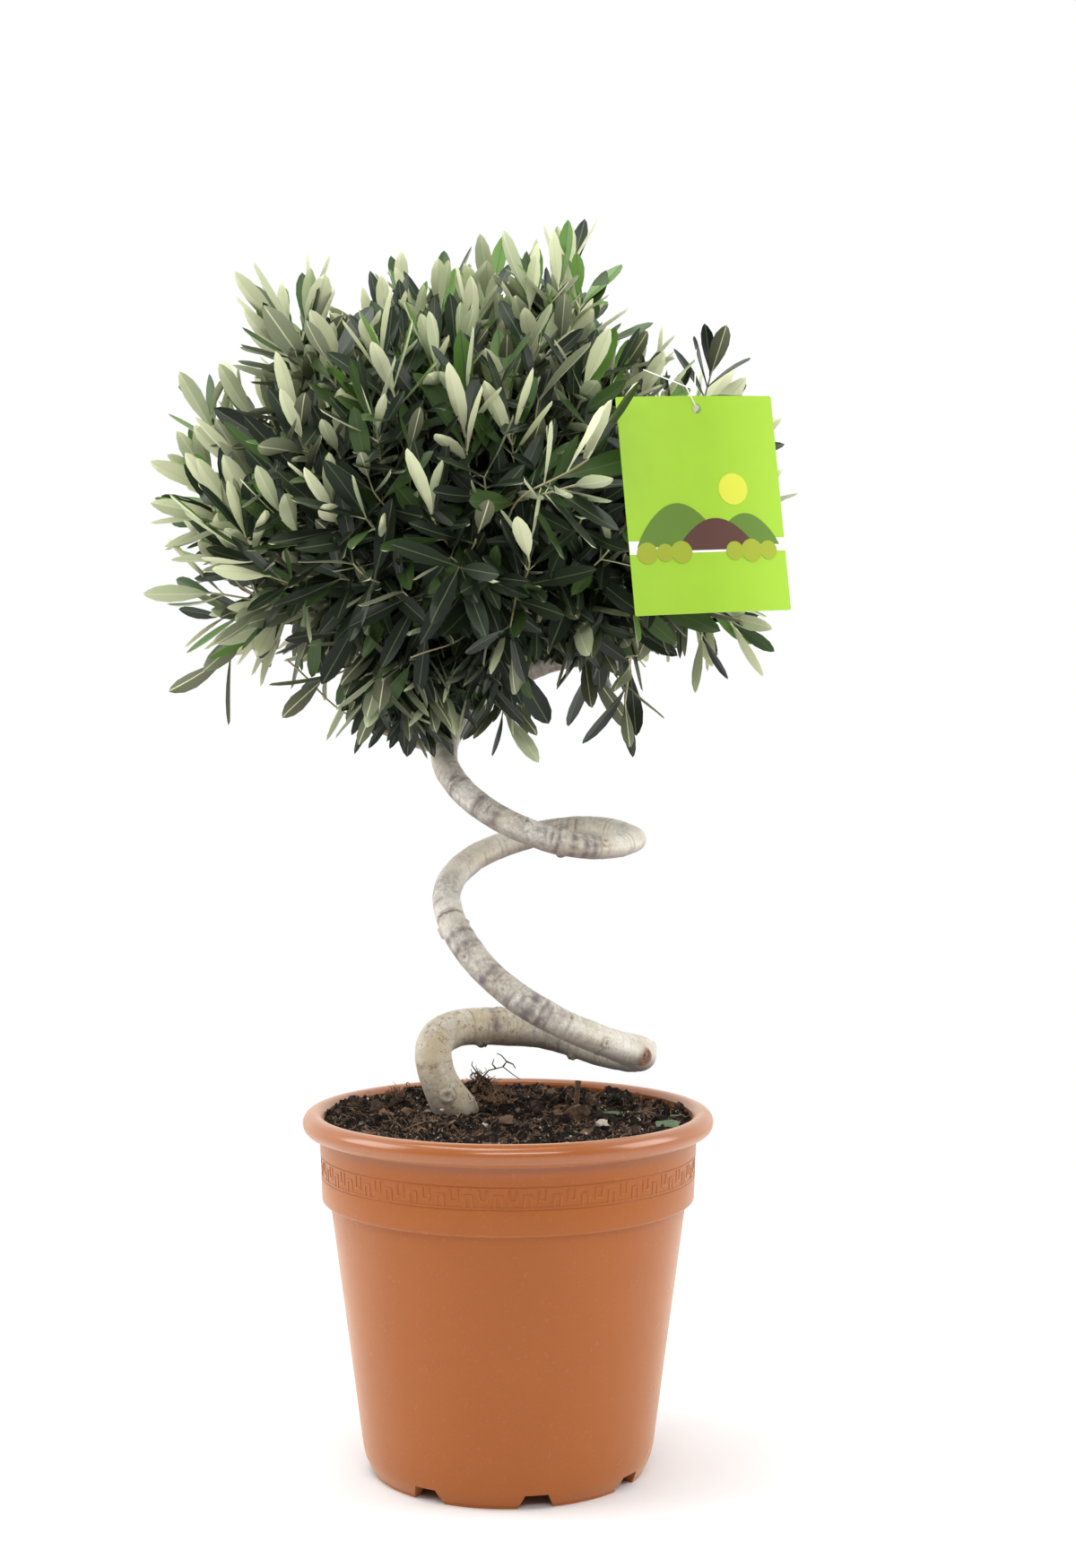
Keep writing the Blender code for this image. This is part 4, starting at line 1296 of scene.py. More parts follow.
def press_scars(points, centres, outward):
    """Press all scars, those in the picture and a few behind. Returns how brown each point is."""
    brown = np.zeros(len(points))
    for pixel, size, height, ringed in SCARS:
        press_scar(points, outward, facing_point(points, centres, pixel), size, height, brown, ringed)
    for _ in range(HIDDEN_SCARS):
        spot = random.integers(len(points))
        if outward[spot] @ np.array((0.0, -1.0, 0.0)) < 0.2:
            size, height = random.uniform(0.003, 0.005), random.uniform(0.0006, 0.0013)
            press_scar(points, outward, spot, size, height, brown)
    return brown


def raise_stub(points, centres, outward):
    """Push out the sawn stub. Returns which points lie on its cut face."""
    stub = facing_point(points, centres, STUB_PIXEL)
    gap = np.linalg.norm(points - points[stub], axis=1) / STUB_RADIUS
    cut = np.clip(1.35 - gap, 0.0, 0.62) / 0.62
    points += np.outer(STUB_HEIGHT * cut, outward[stub])
    return np.clip(1.0 - gap, 0.0, 0.3) / 0.3


# %% [markdown]
# The stem has sooty bands, where it was tied, and narrow dark bars across it. They don't change the shape,
# so they are only noted point by point, as masks for the colour. Then the trunk's mesh is put together.

# %% Mark the bands and make the trunk
DARK_BANDS = (
    ((503, 869), 0.016), ((540, 898), 0.02), ((600, 932), 0.026), ((655, 940), 0.016),
    ((503, 985), 0.018), ((516, 1048), 0.02), ((545, 1092), 0.024), ((590, 1122), 0.03),
    ((553, 1135), 0.01),
)
HIDDEN_BANDS = (1.1, 5.1, 9.2)
DARK_BARS = (
    ((664, 938), 0.0017), ((655, 940), 0.002), ((643, 940), 0.0026), ((624, 938), 0.0015),
    ((553, 907), 0.003), ((533, 893), 0.002), ((507, 873), 0.0017), ((500, 1015), 0.0014),
    ((510, 1038), 0.0024), ((518, 1052), 0.0028), ((540, 1087), 0.0026), ((590, 1122), 0.0034),
    ((605, 1133), 0.0018), ((527, 1131), 0.0011), ((553, 1135), 0.003), ((482, 1190), 0.0009),
)


def dark_bands(points, centres, travelled, quarters):
    """A mask of the wide dark bands across the limb."""
    band = np.zeros(len(points))
    for pixel, half in DARK_BANDS:
        middle = travelled[facing_point(points, centres, pixel)]
        band = np.maximum(band, np.exp(-(((travelled - middle) / half) ** 2)))
    for quarter in HIDDEN_BANDS:
        band = np.maximum(band, np.exp(-(((quarters - quarter) / 0.3) ** 2)))
    return band


def dark_bars(points, centres, outward, travelled):
    """A mask of narrow dark bars across the limb, broken and with ragged edges."""
    bars = np.zeros(len(points))
    for pixel, half in DARK_BARS:
        middle = travelled[facing_point(points, centres, pixel)]
        for index in np.flatnonzero(np.abs(travelled - middle) < half * 2.5):
            broken = 0.75 + 1.1 * noise.noise(Vector(outward[index] * 2.2) + Vector((middle * 90, 0.0, 0.0)))
            edge = 1 + 0.7 * noise.noise(Vector(outward[index] * 5.0) + Vector((0.0, middle * 50, 0.0)))
            gap = (travelled[index] - middle) / (half * edge)
            bars[index] = max(bars[index], broken * math.exp(-(gap**2)))
    return bars


def make_trunk():
    """The trunk's mesh, with a mask for each of its colours written into its points."""
    (points, corners, sizes, numbers), line = sculpt_trunk()
    centres = np.repeat(line, TRUNK_SIDES, axis=0)
    outward = points - centres
    outward /= np.linalg.norm(outward, axis=1)[:, None]
    brown = press_scars(points, centres, outward)
    stub_face = raise_stub(points, centres, outward)
    trunk = mesh_object("trunk_bark", [(points, corners, sizes, numbers)])
    travelled = np.repeat(np.arange(len(line)) * TRUNK_SPACING, TRUNK_SIDES)
    quarters = np.repeat(np.concatenate(([trunk_stations[0]], trunk_stations)), TRUNK_SIDES)
    band = dark_bands(points, centres, travelled, quarters)
    ring, streak = grain(centres, outward, travelled)
    bars = dark_bars(points, centres, outward, travelled)
    # Painted shade: the under mask darkens the bark where it faces down, and also the bark just above the
    # compost.
    low = 0.7 * np.exp(-np.maximum(points[:, 2] - COLLAR_HEIGHT - 0.001, 0.0) / 0.010)
    marks = {
        "scar": brown,
        "cut": stub_face,
        "band": np.maximum(band, bars * 0.9).clip(0.0, 1.0),
        "under": (np.clip(-0.05 - outward[:, 2], 0.0, 1.0) + low).clip(0.0, 1.0),
        "ring": np.maximum(ring, bars).clip(0.0, 1.0),
        "streak": streak,
        "foot": np.exp(-np.maximum(travelled - 0.13, 0.0) / 0.035),
    }
    for label, values in marks.items():
        attribute = trunk.data.attributes.new(label, "FLOAT", "POINT")
        attribute.data.foreach_set("value", values.astype(np.float32))
    return trunk


trunk = make_trunk()

# %% [markdown]
# The bark's colour is a pale skin over beige, honey-coloured and cracked at the foot, with grey freckles,
# sooty bands where the stem was tied, painted shade on the underside, darker bark just above the compost,
# and brown wood in the scars and on the cut. Those masks were noted point by point while sculpting, so the
# colour sits exactly on the relief.

# %% Mix the bark
BARK_PALE = (0.680, 0.620, 0.510)
BARK_CHALK = (0.82, 0.80, 0.74)
BARK_SHADE = (0.38, 0.320, 0.235)
BARK_SOOT = (0.165, 0.138, 0.150)
BARK_UNDERSIDE_SHADE = (0.115, 0.076, 0.052)
BARK_HONEY = (0.56, 0.46, 0.29)
BARK_CRACK = (0.20, 0.135, 0.080)
BARK_BROWN = (0.20, 0.115, 0.065)
CUT_WOOD = (0.16, 0.064, 0.030)
CUT_PITH = (0.40, 0.19, 0.095)
CUT_DARK = (0.030, 0.015, 0.010)
BARK_MASKS = ("scar", "cut", "band", "under", "ring", "streak", "foot")


def bark_finish(name, pale, chalk, soot_amount):
    """Bark in layers: soft patches from noise; bands, rings, scars and the cut from the mesh."""
    bloom = {"Sheen_Weight": 0.25, "Sheen_Roughness": 0.45}
    material = start_finish(name, pale, 0.78, Specular_IOR_Level=0.25, **bloom)
    masks = {label: mask_from(material, label) for label in BARK_MASKS}
    foot, cut = masks["foot"], masks["cut"]
    soot = both(material, masks["band"], mottle(material, 210.0, 0.38, 0.62, detail=7.0, roughness=0.78))
    honey = both(material, foot, mottle(material, 60.0, 0.38, 0.66, detail=5.0, roughness=0.7))
    cracks = both(material, foot, mottle(material, 210.0, 0.56, 0.64, detail=6.0, roughness=0.75))
    pith = both(material, cut, mottle(material, 330.0, 0.50, 0.60, detail=5.0, roughness=0.7))
    pores = both(material, cut, mottle(material, 520.0, 0.52, 0.60, detail=4.0, roughness=0.7))
    paint(material, mottle(material, 26.0, 0.42, 0.62, detail=4.0), chalk, 0.75)
    paint(material, masks["streak"], BARK_SHADE, 0.30)
    paint(material, mottle(material, 85.0, 0.50, 0.72, detail=6.0, roughness=0.7), BARK_SHADE, 0.55)
    paint(material, masks["ring"], BARK_SHADE, 0.85)
    paint(material, mottle(material, 480.0, 0.50, 0.70, detail=4.0, roughness=0.75), BARK_SHADE, 0.60)
    paint(material, mottle(material, 130.0, 0.60, 0.78, detail=6.0, roughness=0.7), BARK_SOOT, 0.40)
    paint(material, soot, BARK_SOOT, soot_amount)
    paint(material, both(material, masks["band"], masks["ring"]), BARK_SOOT, 0.85)
    paint(material, honey, BARK_HONEY, 0.95)
    paint(material, cracks, BARK_CRACK, 0.90)
    # Painted shade on the underside, and darker bark just above the compost.
    paint(material, masks["under"], BARK_UNDERSIDE_SHADE, 0.85)
    paint(material, masks["scar"], BARK_BROWN, 0.75)
    paint(material, cut, CUT_WOOD, 1.0)
    paint(material, pith, CUT_PITH, 0.8)
    paint(material, pores, CUT_DARK, 0.9)
    relief(material, mottle(material, 300.0, 0.3, 0.7, detail=5.0), 0.0005, 0.7)
    relief(material, mottle(material, 1100.0, 0.35, 0.7, detail=3.0), 0.00020, 0.7)
    return material


bark = bark_finish("bark", BARK_PALE, BARK_CHALK, 0.72)
trunk_nodes = [name for name in nodes if name.startswith("trunk_")]
finish_piece(trunk, "trunk_bark", [bark], replaced=trunk_nodes, smooth_angle=60)

# %% [markdown]
# ## Where the boughs run
# The model has a leader above the fork and one bough to each mass of foliage, each a tapering limb of a few
# flat rings. Their lines are read back from those rings: a limb's points are sorted along it and taken ring
# by ring. Inside the crown the limbs go on, and from them everything else grows.

# %% Read the limbs from the model
CROWN_CENTRE = Vector((-0.028, 0.0, 0.720))
LIMB_RINGS = 5


def unique_points(obj):
    """The points of a CAD node, each once."""
    points = np.array([vert.co for vert in obj.data.vertices])
    return np.unique(points.round(6), axis=0)


def limb_line(name):
    """Centres and radii of a limb's rings, from its start to its end in a mass."""
    points = unique_points(nodes[name])
    middle = points.mean(axis=0)
    axis = np.linalg.svd(points - middle)[2][0]
    rings = np.array_split(points[np.argsort((points - middle) @ axis)], LIMB_RINGS)
    centres = np.array([ring.mean(axis=0) for ring in rings])
    radii = np.array([np.linalg.norm(ring - centre, axis=1).max() for ring, centre in zip(rings, centres)])
    if radii[0] < radii[-1]:
        centres, radii = centres[::-1], radii[::-1]
    return centres, radii


mass_names = sorted(name for name in nodes if name.startswith("crown_"))
hearts = {name: Vector(unique_points(nodes[name]).mean(axis=0)) for name in mass_names}
limbs = {name: limb_line(name) for name in nodes if name.startswith("bough_") or name == "leader"}
print("masses:", len(mass_names), "limbs:", len(limbs))

# %% [markdown]
# ## How the crown grows
# All masses of foliage are filled by one rule. Growth points are strewn over the crown's face, a few
# centimetres apart, and over two layers below it, and each belongs to the mass whose heart is nearest. It
# could be done by hand, but a rule with a seed gives thousands of leaves that all sit on real wood. Growth
# is thinner below, in the shade.

# %% Strew the growth points
CROWN_OUTLINE = (
    (0, 0.953), (0.04, 0.958), (0.06, 0.937), (0.075, 0.905), (0.111, 0.893), (0.146, 0.862),
    (0.176, 0.832), (0.202, 0.802), (0.213, 0.76), (0.212, 0.712), (0.204, 0.675), (0.192, 0.655),
    (0.15, 0.643), (0.1, 0.628), (0.05, 0.607), (0, 0.588), (-0.05, 0.57), (-0.1, 0.572), (-0.15, 0.588),
    (-0.19, 0.616), (-0.222, 0.66), (-0.262, 0.684), (-0.268, 0.705), (-0.258, 0.767), (-0.247, 0.808),
    (-0.238, 0.846), (-0.197, 0.888), (-0.176, 0.934), (-0.12, 0.936), (-0.06, 0.943),
)
CROWN_HALF_DEPTH = 0.212
LAYERS = {"outer": (0.0360, -0.003), "second": (0.0345, 0.034), "inner": (0.0370, 0.068)}
LEAF_REACH = 0.047
LUMPS = 0.020
THIN_BELOW = 0.75
TRIES = 5000

outline_spokes = [(across - CROWN_CENTRE.x, up - CROWN_CENTRE.z) for across, up in CROWN_OUTLINE]
outline_angles = [math.atan2(up, across) for across, up in outline_spokes]
outline_reaches = [math.hypot(across, up) for across, up in outline_spokes]


def crown_surface(away, depth):
    """The point of the crown's face in a direction from its middle, this far below the face."""
    reach = np.interp(math.atan2(away.z, away.x), outline_angles, outline_reaches, period=math.tau)
    face = Vector((away.x * reach, away.y * CROWN_HALF_DEPTH, away.z * reach))
    return CROWN_CENTRE + face - away * depth


def mass_at(point):
    """The mass of foliage whose heart is nearest."""
    return min(mass_names, key=lambda name: (hearts[name] - point).length)


def strew_points(spacing, depth):
    """Points on the crown's face, or this far below it, that keep their distance from each other."""
    kept = []
    for _ in range(TRIES):
        away = Vector(random.normal(size=3)).normalized()
        lump = LUMPS * (0.5 + noise.noise(away * 3.2) - 0.5 * noise.noise(away * 7.0))
        point = crown_surface(away, depth + (lump + random.uniform(-0.004, 0.004)))
        room = spacing * (1.0 + THIN_BELOW * clamped((0.05 - away.z) / 0.5))
        if all((point - other[0]).length > room for other in kept):
            kept.append((point, away, mass_at(point)))
    return kept


growth_points = {layer: strew_points(*values) for layer, values in LAYERS.items()}
print("growth points:", {layer: len(points) for layer, points in growth_points.items()})

# %% [markdown]
# A clipped crown throws strong shoots beyond its line, and those make its outline. Others hang down over
# the fork. They are listed one by one: where the tip is in the picture, how far back it lies, and which way
# the shoot heads.

# %% Set the strong shoots
STRONG_SHOOTS = (
    ((490, 262), 0, (-0.05, 0, 1)), ((592, 262), -0.06, (0.02, 0, 1)), ((634, 244), 0.02, (0.08, 0, 1)),
    ((622, 256), -0.05, (-0.02, 0, 1)), ((326, 296), -0.08, (-0.1, 0, 1)),
    ((650, 262), -0.03, (0.05, 0, 1)), ((684, 292), 0.03, (0.65, 0, 0.8)),
    ((540, 276), 0.05, (-0.1, 0, 1)), ((440, 276), 0.02, (-0.12, 0, 1)),
    ((325, 286), 0.02, (-0.15, 0, 1)), ((303, 308), -0.03, (-0.22, 0, 1)),
    ((348, 300), -0.06, (0.05, 0, 1)), ((218, 402), 0, (-0.25, 0, 1)),
    ((204, 480), 0.02, (-0.45, 0, 0.9)), ((170, 568), 0, (-1, 0, 0.12)),
    ((170, 655), -0.02, (-1, 0, 0.1)), ((186, 690), 0.03, (-1, 0, -0.05)),
    ((252, 702), 0, (-0.8, 0, -0.45)), ((296, 776), -0.02, (-1, 0, -0.3)),
    ((352, 792), -0.05, (-0.6, 0, -0.7)), ((412, 842), -0.09, (-0.15, -0.1, -1)),
    ((436, 838), -0.08, (0.12, -0.1, -1)), ((505, 812), -0.05, (0.4, -0.2, -0.8)),
    ((568, 862), -0.02, (0.1, 0, -1)), ((612, 815), -0.04, (0.6, -0.1, -0.8)),
    ((680, 782), -0.05, (0.2, -0.1, -1)), ((790, 776), -0.02, (0.1, 0, -1)),
    ((815, 742), 0.02, (0.35, 0, -0.9)), ((866, 738), 0, (0.75, 0, -0.65)),
    ((884, 542), 0.02, (1, 0, 0.15)), ((862, 455), 0.03, (0.75, 0, 0.7)), ((806, 420), 0.04, (0.5, 0, 1)),
    ((728, 362), 0, (0.3, 0, 1)), ((716, 468), -0.232, (0.65, -0.35, 0.45)),
    ((708, 520), -0.226, (0.6, -0.45, 0.15)), ((470, 826), -0.075, (0.1, -0.2, -1)),
    ((488, 818), -0.06, (0.2, -0.2, -1)), ((424, 816), -0.06, (-0.4, -0.2, -1)),
    ((640, 770), -0.08, (0.5, -0.3, -0.8)), ((690, 742), -0.1, (0.6, -0.3, -0.6)),
    ((660, 756), -0.04, (0.3, -0.3, -0.9)), ((628, 742), -0.11, (0.3, -0.4, -0.8)),
    ((452, 838), -0.05, (-0.1, -0.3, -1)), ((440, 850), -0.07, (-0.1, -0.3, -1)),
    ((464, 850), -0.06, (0.1, -0.3, -1)), ((478, 842), -0.08, (0, -0.3, -1)),
    ((424, 834), -0.03, (-0.5, -0.2, -0.9)), ((236, 716), -0.02, (-0.9, -0.1, -0.3)),
    ((262, 738), 0.02, (-0.7, 0.1, -0.6)), ((320, 764), -0.06, (-0.4, -0.2, -0.8)),
    ((330, 752), 0.01, (-0.2, -0.1, -1)), ((500, 828), -0.06, (0.1, -0.2, -1)),
    ((546, 812), -0.08, (0.2, -0.3, -1)), ((560, 790), -0.11, (0.1, -0.4, -0.9)),
    ((592, 772), -0.12, (0.3, -0.4, -0.9)), ((664, 750), -0.1, (0.3, -0.4, -0.9)),
    ((706, 740), -0.085, (0.5, -0.4, -0.7)), ((306, 738), -0.04, (-0.8, -0.1, -0.5)),
    ((452, 806), -0.11, (-0.1, -0.3, -1)), ((528, 806), -0.085, (0.3, -0.2, -1)),
    ((600, 800), -0.1, (0.4, -0.3, -0.9)),
)

strong = []
for pixel, depth, heading in STRONG_SHOOTS:
    tip = point_seen_at(*pixel, depth)
    strong.append((tip, Vector(heading).normalized(), mass_at(tip)))
print("strong shoots:", len(strong))

# %% [markdown]
# Each growth point becomes the tip of a shoot, which leans outwards and turns up to the light, or hangs
# where the crown overhangs. The tip is set back by the reach of its leaves, so that the leaves and not the
# wood end at the crown's face.

# %% Aim the shoots
OUTER_LENGTHS = (0.070, 0.105)
STRONG_LENGTHS = (0.085, 0.110)
TURN_UP = 0.92
OUTWARD = 0.50
SHOOT_SCATTER = 0.20


def shoot_heading(away):
    """Up to the light and a little outwards; level and outwards where the crown overhangs."""
    rise = TURN_UP * clamped((away.z + 0.42) / 0.40, -0.12)
    outward = OUTWARD + 0.45 * clamped((-0.05 - away.z) / 0.35)
    return (away * outward + UP * rise + Vector(random.normal(scale=SHOOT_SCATTER, size=3))).normalized()


def new_shoot(tip, heading, away, name, kind, lengths):
    """A shoot as a dictionary. Its foot lies below its tip and further in."""
    foot = tip - (heading * 0.5 + away * 0.5) * random.uniform(*lengths)
    return {"tip": tip, "heading": heading, "foot": foot, "owner": name, "away": away, "kind": kind}


def plan_shoots():
    """All shoots, those of the face, those further in and the strong ones."""
    planned = []
    for kind, points in growth_points.items():
        for point, away, name in points:
            heading = shoot_heading(away)
            tip = point - (away * 0.75 + heading * 0.25) * LEAF_REACH
            planned.append(new_shoot(tip, heading, away, name, kind, OUTER_LENGTHS))
    for tip, heading, name in strong:
        away = (tip - CROWN_CENTRE).normalized()
        planned.append(new_shoot(tip - heading * LEAF_REACH, heading, away, name, "strong", STRONG_LENGTHS))
    return planned


shoots = plan_shoots()
print("shoots:", len(shoots))

# %% [markdown]
# The wood of a mass is kept as a list of points, each with the point that it grew from. That is enough to
# find the nearest wood for a new twig, to bend the twig out of it, and to count how many shoots each point
# carries.

# %% Keep the wood as points
TWIG_STEP = 0.009
TWIG_BEND = 0.42
PATH_WEIGHT = 0.45
TWIG_TIP_RADIUS = 0.00078
TIP_POWER = 2.5


def curve_between(start, start_heading, end, end_heading):
    """Points on a smooth curve between two places, with its headings at both ends."""
    reach = (end - start).length
    pulls = (start, start + start_heading * reach * TWIG_BEND, end - end_heading * reach * TWIG_BEND, end)
    count = max(3, int(reach / TWIG_STEP) + 1)
    return [curve_point(pulls, share) for share in np.linspace(0, 1, count + 1)]


class Wood:
    """The wood of one mass: points that each know the point they grew from."""

    def __init__(self):
        self.points, self.parents, self.paths, self.loads, self.lines = [], [], [], [], []

    def add_line(self, line, parent):
        """Grow a line of points on from a parent, -1 for none, and return the last one."""
        members = [parent] if parent >= 0 else []
        for point in line:
            path = (point - self.points[parent]).length + self.paths[parent] if parent >= 0 else 0.0
            self.points.append(point)
            self.parents.append(parent)
            self.paths.append(path)
            self.loads.append(0.0)
            parent = len(self.points) - 1
            members.append(parent)
        self.lines.append(members)
        return parent

    def heading(self, index):
        parent = self.parents[index]
        if parent < 0:
            return (self.points[1] - self.points[0]).normalized()
        return (self.points[index] - self.points[parent]).normalized()

    def nearest(self, place):
        """The wood that a new twig starts from: close by, and without a long way round."""
        points = np.array(self.points)
        cost = np.linalg.norm(points - np.array(place), axis=1) + PATH_WEIGHT * np.array(self.paths)
        return int(np.argmin(cost))

    def join_twig(self, end, end_heading):
        start = self.nearest(end)
        towards = (end - self.points[start]).normalized()
        heading = (self.heading(start) + towards * 0.9).normalized()
        line = curve_between(self.points[start], heading, end, end_heading)
        return self.add_line(line[1:], start)

    def thicken(self, tips):
        """Let each tip add its share to all the wood below it."""
        for tip in tips:
            index = tip
            while index >= 0:
                self.loads[index] += 1.0
                index = self.parents[index]

    def radius(self, index, largest):
        return min(largest, TWIG_TIP_RADIUS * max(self.loads[index], 1.0) ** (1 / TIP_POWER))


# %% [markdown]
# From the inside out, each shoot is joined to the nearest wood that already exists, by a curved twig, and a
# few more shoots sprout from the wood inside. Wood that carries more shoots gets thicker, as in a real
# tree, where the cross-sections of the branches add up to about that of the limb.

# %% Grow the wood of each mass
HEART_SHOOTS = 0.20


def limb_into_heart(name):
    """The model's limb of a mass, its radii, and its way on to the heart."""
    limb_name = "leader" if name == "crown_top" else name.replace("crown", "bough")
    centres, radii = limbs[limb_name]
    start, end = Vector(centres[0]), Vector(centres[-1])
    heading = (end - start).normalized()
    line = [Vector(centre) for centre in centres]
    return line, radii, curve_between(end, heading, hearts[name], (hearts[name] - end).normalized())[1:]


def grow_mass(name):
    """All the wood of one mass: its limb, the twigs and the shoots."""
    wood = Wood()
    limb, radii, onward = limb_into_heart(name)
    limb_end = wood.add_line(limb, -1)
    wood.add_line(onward, limb_end)
    own = [shoot for shoot in shoots if shoot["owner"] == name]
    own.sort(key=lambda shoot: (shoot["foot"] - hearts[name]).length)
    tips = []
    for shoot in own:
        heading = (shoot["heading"] * 0.6 + (shoot["foot"] - hearts[name]).normalized() * 0.4).normalized()
        foot = wood.join_twig(shoot["foot"], heading)
        line = curve_between(shoot["foot"], heading, shoot["tip"], shoot["heading"])
        shoot["line"] = line
        tips.append(wood.add_line(line[1:], foot))
    inner = [index for index in range(len(limb), len(wood.points)) if random.uniform() < 0.5]
    for index in random.permutation(inner)[: int(len(own) * HEART_SHOOTS)]:
        start = wood.points[index]
        away = (start - CROWN_CENTRE).normalized()
        heading = (shoot_heading(away) + Vector(random.normal(scale=0.5, size=3))).normalized()
        tip = start + heading * random.uniform(0.03, 0.055)
        line = curve_between(start, heading, tip, heading)
        shoots.append({"line": line, "owner": name, "away": away, "kind": "heart"})
        tips.append(wood.add_line(line[1:], int(index)))
    wood.thicken(tips)
    return wood, radii


woods = {name: grow_mass(name) for name in mass_names}
print("wood points:", sum(len(wood.points) for wood, _ in woods.values()))

# %% [markdown]
# The wood becomes tubes: the limbs that the model has get bark like the trunk's, the twigs inside are
# brown, and the green-tan shoots carry the leaves. A twig has only four or five sides, since there are more
# than a thousand.

# %% Make limbs and twigs
BOUGH_SIDES = 14
BOUGH_TAPER = 0.55
TWIG_SIDES = 5
STEM_SIDES = 4
LIMB_WAVES = ((0.012, 0.00035), (0.005, 0.00020))
LIMB_WRINKLE = 0.0003
TWIG, STEM = range(2)


def bough_part(centres, radii):
    """One limb of the model as a closer, knotty tube."""
    stations = np.arange(len(centres))
    fine = np.linspace(0, len(centres) - 1, 44)
    line = np.stack([np.interp(fine, stations, column) for column in np.array(centres).T], axis=1)
    line[0] -= (line[1] - line[0]) / np.linalg.norm(line[1] - line[0]) * 0.003
    radius = np.interp(fine, stations, radii) * np.linspace(0.96, BOUGH_TAPER, len(fine))
    return tube(line, radius, BOUGH_SIDES, 0, bark_swell(line, radius, BOUGH_SIDES, LIMB_WAVES, LIMB_WRINKLE))


boughs = mesh_object("bough_bark", [bough_part(*limb) for limb in limbs.values()])
for label in BARK_MASKS:
    boughs.data.attributes.new(label, "FLOAT", "POINT")
bough_finish = bark_finish("bough_skin", (0.24, 0.20, 0.155), (0.32, 0.285, 0.23), 0.8)
finish_piece(boughs, "bough_bark", [bough_finish], replaced=list(limbs), smooth_angle=60)


def twig_parts(name):
    """Tubes along every line of one mass's wood, except the limb that the model has."""
    wood, radii = woods[name]
    largest = float(radii[-1]) * BOUGH_TAPER
    parts = []
    for members in wood.lines[1:]:
        points = [wood.points[index] for index in members]
        thickness = [wood.radius(index, largest) for index in members]
        if members[0] != members[1] and len(members) > 2:
            thickness[0] = min(thickness[0], thickness[1] * 1.15)
        thickness[-1] *= 0.85
        young = wood.loads[members[-1]] <= 1.0
        parts.append(tube(points, thickness, STEM_SIDES if young else TWIG_SIDES, STEM if young else TWIG))
    return parts


TWIG_BROWN = (0.225, 0.155, 0.115)
STEM_TAN = (0.42, 0.37, 0.20)
twigs = mesh_object("twigs", [part for name in mass_names for part in twig_parts(name)])
twig_finish = start_finish("twig_bark", TWIG_BROWN, 0.8, Specular_IOR_Level=0.3)
stem_finish = start_finish("young_stem", STEM_TAN, 0.6, Specular_IOR_Level=0.35)
finish_piece(twigs, "twigs", [twig_finish, stem_finish], smooth_angle=60)

# %% [markdown]
# ## One olive leaf
# An olive leaf is narrow and leathery: a short stalk, the widest part beyond the middle, a small point, a
# sunk midrib above and a raised one below. It could be a flat card, but a card has no back and no edge.
# This one starts as a grid with a narrow strip for the midrib, its rows are scaled to the outline, its
# middle is pressed down, and a second skin closes it. A row that is done is parked high above the others,
# so that the next pick can't touch it. The leaf has only eighty-two triangles, because thousands follow.

# %% Model the leaf
LEAF_STATIONS = (0.0, 0.10, 0.24, 0.42, 0.62, 0.81, 0.94, 1.0)
LEAF_WIDTHS = (0.085, 0.105, 0.52, 0.86, 1.0, 0.82, 0.40, 0.0)
LEAF_KEEL = 0.17
LEAF_BACK = 0.075
LEAF_RIB = 0.030
PARKED = 5.0
TOP_SIDE, UNDER_SIDE, TOP_RIB = range(3)


def select_row(place, reach, test):
    """Select those points of one row across the leaf for which the test holds."""
    select_points(lambda vert: abs(vert.co.x - place) < reach and test(vert.co))


def shape_leaf(rows):
    """Scale each row of the grid to the leaf's outline, and press its middle down to a keel."""
    near = 0.3 / rows
    for index, (station, width) in enumerate(zip(LEAF_STATIONS, LEAF_WIDTHS)):
        place = index / rows - 0.5
        select_row(place, near, lambda co: abs(co.y) > 0.4 and co.z == 0.0)
        bpy.ops.transform.resize(value=(1.0, max(width, 0.0001), 1.0), center_override=(place, 0.0, 0.0))
        select_row(place, near, lambda co: 0.15 < abs(co.y) < 0.18)
        rib = LEAF_RIB * 6 if width > 0 else 0.0001
        bpy.ops.transform.resize(value=(1.0, rib, 1.0), center_override=(place, 0.0, 0.0))
        select_row(place, near, lambda co: co.z == 0.0)
        bpy.ops.transform.translate(value=(station - index / rows + 0.5, 0.0, PARKED + index))
    for index, (station, width) in enumerate(zip(LEAF_STATIONS, LEAF_WIDTHS)):
        select_points(lambda vert, at=PARKED + index: abs(vert.co.z - at) < 0.5)
        bpy.ops.transform.translate(value=(0.0, 0.0, -PARKED - index))
        select_row(station, 0.01, lambda co: abs(co.y) < LEAF_RIB * 1.1)
        bpy.ops.transform.translate(value=(0.0, 0.0, -LEAF_KEEL * width / 2))


def close_leaf():
    """Turn a copy of the upper skin over, press its middle down, and join both at the edge."""
    pick_all()
    bpy.ops.mesh.duplicate()
    bpy.ops.mesh.flip_normals()
    mesh = bpy.context.edit_object.data
    bm = bmesh.from_edit_mesh(mesh)
    for face in bm.faces:
        middle = abs(face.calc_center_median().y) < 0.001
        face.material_index = (UNDER_SIDE if face.select else TOP_SIDE) + (TOP_RIB if middle else 0)
    for vert in bm.verts:
        vert.select = vert.select and abs(vert.co.y) < LEAF_RIB * 1.1 and vert.co.x < 0.99
    bm.select_flush_mode()
    bmesh.update_edit_mesh(mesh)
    bpy.ops.transform.translate(value=(0.0, 0.0, -LEAF_BACK))
    pick_all()
    bpy.ops.mesh.remove_doubles(threshold=0.001)
    select_points(lambda vert: vert.co.x < 0.001)
    bpy.ops.mesh.edge_face_add()


